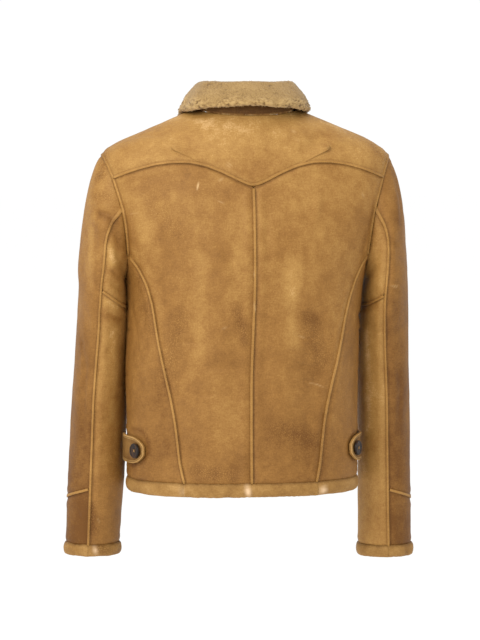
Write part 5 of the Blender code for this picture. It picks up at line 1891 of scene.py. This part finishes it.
@dataclass
class Tabs:
    """The waist tabs: two light rolled lines along the edge with a groove between, round a lower, darker field."""

    relief: Relief
    finishes: Finishes
    outer_line: float = 1.5 * MM
    groove: float = 2.9 * MM
    inner_line: float = 4.1 * MM
    line_width: float = 0.9 * MM
    line_rise: float = 0.9 * MM
    groove_drop: float = 0.7 * MM
    field_drop: float = 0.9 * MM
    sink: float = 0.6 * MM

    def build(self) -> dict[str, bpy.types.Object]:
        """Builds both tabs.

        Returns:
            The tabs by the names of their solids.
        """
        made = {}
        form = self.relief.forms[Region.TRUNK]
        for node in [f"tab_{side}" for side in SIDES]:
            work = cad_mesh(node)
            rim = self._rim_tree(work)
            piece = grown(f"waist_{node}", work, 3, 0.5)
            points = points_of(piece.data)
            out = form.outward(points)
            outside = smooth_step((normals_of(piece.data) * out).sum(axis=1) * 3 - 1.0)
            from_rim = nearest_on(rim, points, 0.03)[0]
            lines = self._bump(from_rim, self.outer_line) + self._bump(from_rim, self.inner_line)
            groove = self._bump(from_rim, self.groove)
            inner = smooth_step((from_rim - self.inner_line) / (1.2 * MM))
            height = lines * self.line_rise - groove * self.groove_drop - inner * self.field_drop
            shift = self.relief.shift(points, Region.TRUNK, np.full(len(points), 0.02))
            # Painted shade in the groove between the rolled lines and over the lower field, deepest next to the inner
            # line; the tone makes the lines lighter and the field darker.
            seam = outside * np.clip(groove * 0.9 + inner * (0.25 + 0.35 * np.exp(-((from_rim / 0.008) ** 2))), 0, 1)
            paint_hide(piece.data, points, self.relief, outside * (0.30 - 0.45 * inner), seam)
            move_points(piece.data, points + shift + out * (height * outside - self.sink)[:, None])
            dress(piece, (self.finishes.rolled,), [node])
            made[node] = piece
        return made

    def _bump(self, from_rim: np.ndarray, at: float) -> np.ndarray:
        """1 at a distance from the rim, fading on both sides of it."""
        return np.exp(-(((from_rim - at) / self.line_width) ** 2))

    @staticmethod
    def _rim_tree(work: bmesh.types.BMesh) -> BVHTree:
        """A search tree over the narrow faces of a tab's edge.

        Args:
            work: The tab's edit mesh.

        Returns:
            The search tree.
        """
        rims = [face for group in smooth_groups(work)[:-2] for face in group]
        corners = [vertex.co.copy() for vertex in work.verts]
        return BVHTree.FromPolygons(corners, [[vertex.index for vertex in face.verts] for face in rims])


@dataclass
class Buttons:
    """The horn buttons: a turned rim, a dished middle with four holes, and crossed thread."""

    finishes: Finishes
    radius: float = 11.8 * MM
    thickness: float = 4.4 * MM
    rim: float = 2.6 * MM
    dish: float = 1.2 * MM
    rounding: float = 1.1 * MM
    hole_radius: float = 1.05 * MM
    hole_aside: float = 2.3 * MM
    segments: int = 56

    def build(self) -> dict[str, bpy.types.Object]:
        """Builds every button on its solid's place.

        Returns:
            The buttons and their thread, by the names of the solids.
        """
        made = {}
        for node in sorted(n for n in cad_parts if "button" in n):
            place = self._place(node)
            piece = link(f"horn_{node}", self._turned(place))
            dress(piece, (self.finishes.horn,), [node])
            thread = link(f"thread_{node}", self._thread(place))
            dress(thread, (self.finishes.thread,))
            made |= {node: piece, f"{node}_thread": thread}
        return made

    def _place(self, node: str) -> Matrix:
        """A solid button's place: its origin in the middle of its back, and its Z out of its face.

        Args:
            node: The button's solid.

        Returns:
            Its place.
        """
        points = cad_points(node)
        middle = (points.max(axis=0) + points.min(axis=0)) / 2
        _, _, axes = np.linalg.svd(np.unique(points.round(6), axis=0) - middle)
        way = Vector(axes[2])
        towards = Vector((middle[0], middle[1], 0.0))
        way = way if way.dot(towards) > 0 else -way
        turn = way.to_track_quat("Z", "Y").to_matrix().to_4x4()
        return Matrix.Translation(Vector(middle) - way * self.thickness / 2) @ turn

    def _turned(self, place: Matrix) -> bpy.types.Mesh:
        """Turns the button's profile, sinks its four holes and puts it in its place.

        Args:
            place: The button's place.

        Returns:
            The button's mesh.
        """
        shape = bmesh.new()
        profile = self._profile()
        corners = [shape.verts.new((out, 0.0, up)) for out, up in profile]
        edges = [shape.edges.new(pair) for pair in zip(corners, corners[1:])]
        bmesh.ops.spin(
            shape, geom=corners + edges, cent=(0, 0, 0), axis=(0, 0, 1), angle=2 * pi, steps=self.segments,
            use_merge=True,
        )
        bmesh.ops.remove_doubles(shape, verts=shape.verts, dist=WELD)
        bmesh.ops.recalc_face_normals(shape, faces=shape.faces)
        deep = self.thickness * 0.55
        for vertex in shape.verts:
            if vertex.co.z < self.thickness / 2:
                continue
            for turn in (45, 135, 225, 315):
                hole = Vector((cos(radians(turn)), sin(radians(turn)))) * self.hole_aside * 1.2
                away = (vertex.co.xy - hole).length
                if away < self.hole_radius * 1.25:
                    sunk = float(smooth_step(np.array((self.hole_radius * 1.25 - away) / (0.5 * MM))))
                    vertex.co.z -= deep * sunk
        return self._placed("button", shape, place)

    def _profile(self) -> list[tuple[float, float]]:
        """The button's half outline, from the middle of its back round to the middle of its face.

        Returns:
            How far out and how high each corner is.
        """
        outer = self.radius - self.rounding
        profile = [(0.0, 0.0), (outer, 0.0)]
        for up in (self.rounding, self.thickness - self.rounding):
            start = -90 if up == self.rounding else 0
            turns = [radians(start + step * 22.5) for step in range(5)]
            profile += [(outer + self.rounding * cos(t), up + self.rounding * sin(t)) for t in turns]
        inner = self.radius - self.rim
        steps = 4
        for step in range(1, steps + 1):
            share = step / steps
            drop = self.dish * share * share * (3 - 2 * share)
            profile.append((outer + (inner - self.rounding - outer) * share, self.thickness - drop))
        bottom = self.thickness - self.dish
        profile += [(inner * (1 - step / 16), bottom) for step in range(3, 16)]
        return profile + [(0.0, bottom)]

    def _thread(self, place: Matrix) -> bpy.types.Mesh:
        """Two crossed bars of thread over the holes.

        Args:
            place: The button's place.

        Returns:
            The thread's mesh.
        """
        shape = bmesh.new()
        up = self.thickness - self.dish + 0.35 * MM
        for turn in (45, 135):
            made = bmesh.ops.create_uvsphere(shape, u_segments=10, v_segments=8, radius=1.0)["verts"]
            long, thick = self.hole_aside * 1.55, 0.55 * MM
            bmesh.ops.scale(shape, verts=made, vec=(long, thick, thick))
            bmesh.ops.rotate(shape, verts=made, cent=(0, 0, 0), matrix=Matrix.Rotation(radians(turn), 3, "Z"))
            bmesh.ops.translate(shape, verts=made, vec=(0, 0, up))
        return self._placed("button_thread", shape, place)

    @staticmethod
    def _placed(name: str, shape: bmesh.types.BMesh, place: Matrix) -> bpy.types.Mesh:
        """Makes a smooth mesh of an edit mesh, at its place.

        Args:
            name: The mesh's name.
            shape: The edit mesh, which is freed.
            place: Where it goes.

        Returns:
            The mesh.
        """
        shape.transform(place)
        mesh = bpy.data.meshes.new(name)
        shape.to_mesh(mesh)
        shape.free()
        mesh.shade_smooth()
        return mesh


@dataclass
class Studio:
    """A plain pale floor, soft light from above on the photograph's left, and pale surroundings."""

    view: PhotoView
    floor_drop: float = 0.75
    floor_half: float = 40.0
    floor_colour: str = "FDFDFD"
    sky_strength: float = 1.02
    key_power: float = 88.0
    key_size: float = 2.2
    key_place: tuple[float, float, float] = (1.9, 2.7, 1.5)
    top_power: float = 12.0
    top_place: tuple[float, float, float] = (0.2, 0.6, 2.2)

    def build(self) -> None:
        """Builds the floor, the lights, the surroundings and the camera."""
        work = bmesh.new()
        bmesh.ops.create_grid(work, x_segments=1, y_segments=1, size=self.floor_half)
        bmesh.ops.translate(work, verts=work.verts, vec=(0.0, 0.0, CAD_BOX[0].z - self.floor_drop))
        mesh = bpy.data.meshes.new("floor")
        work.to_mesh(mesh)
        work.free()
        floor = link("floor", mesh)
        material, _, shader = new_material("matt_white_paper")
        shader.inputs["Base Color"].default_value = linear(self.floor_colour)
        shader.inputs["Roughness"].default_value = 1.0
        shader.inputs["Specular IOR Level"].default_value = 0.0
        mesh.materials.append(material)
        world = bpy.data.worlds.new("pale_studio")
        world.use_nodes = True
        sky = world.node_tree.nodes["Background"]
        sky.inputs["Color"].default_value = linear("FFFFFF")
        sky.inputs["Strength"].default_value = self.sky_strength
        bpy.context.scene.world = world
        self._lamp("key_softbox", self.key_place, self.key_power, self.key_size)
        self._lamp("top_softbox", self.top_place, self.top_power, self.key_size)
        bpy.context.scene.view_settings.view_transform = "Standard"
        self.view.make_camera()

    def _lamp(self, name: str, place: tuple[float, float, float], power: float, size: float) -> None:
        """Makes a square soft light that looks at the jacket.

        Args:
            name: The light's name.
            place: Where it stands.
            power: Its power in watts.
            size: Its side in metres.
        """
        light = bpy.data.lights.new(name, "AREA")
        light.energy = power
        light.size = size
        lamp = bpy.data.objects.new(name, light)
        lamp.location = place
        lamp.rotation_euler = (Vector(self.view.aim) - lamp.location).to_track_quat("-Z", "Y").to_euler()
        bpy.context.scene.collection.objects.link(lamp)


def main() -> None:
    """Builds every piece of the jacket and the studio round it."""
    view = PhotoView()
    relief = Relief(view)
    log.info("relief: %d creases, %d marks", len(relief.creases), len(relief.strokes))
    finishes = Finishes()
    walls = Walls(relief, finishes)
    panels = walls.build()
    sewn_on = Ridges(relief, finishes).build() | Rolls(relief, finishes).build()
    Collar(relief, finishes).build()
    sewn_on |= Tabs(relief, finishes).build() | Buttons(finishes).build()
    Studio(view).build()


if __name__ == "__main__":
    logging.basicConfig(level=logging.INFO, format="%(message)s")
    main()
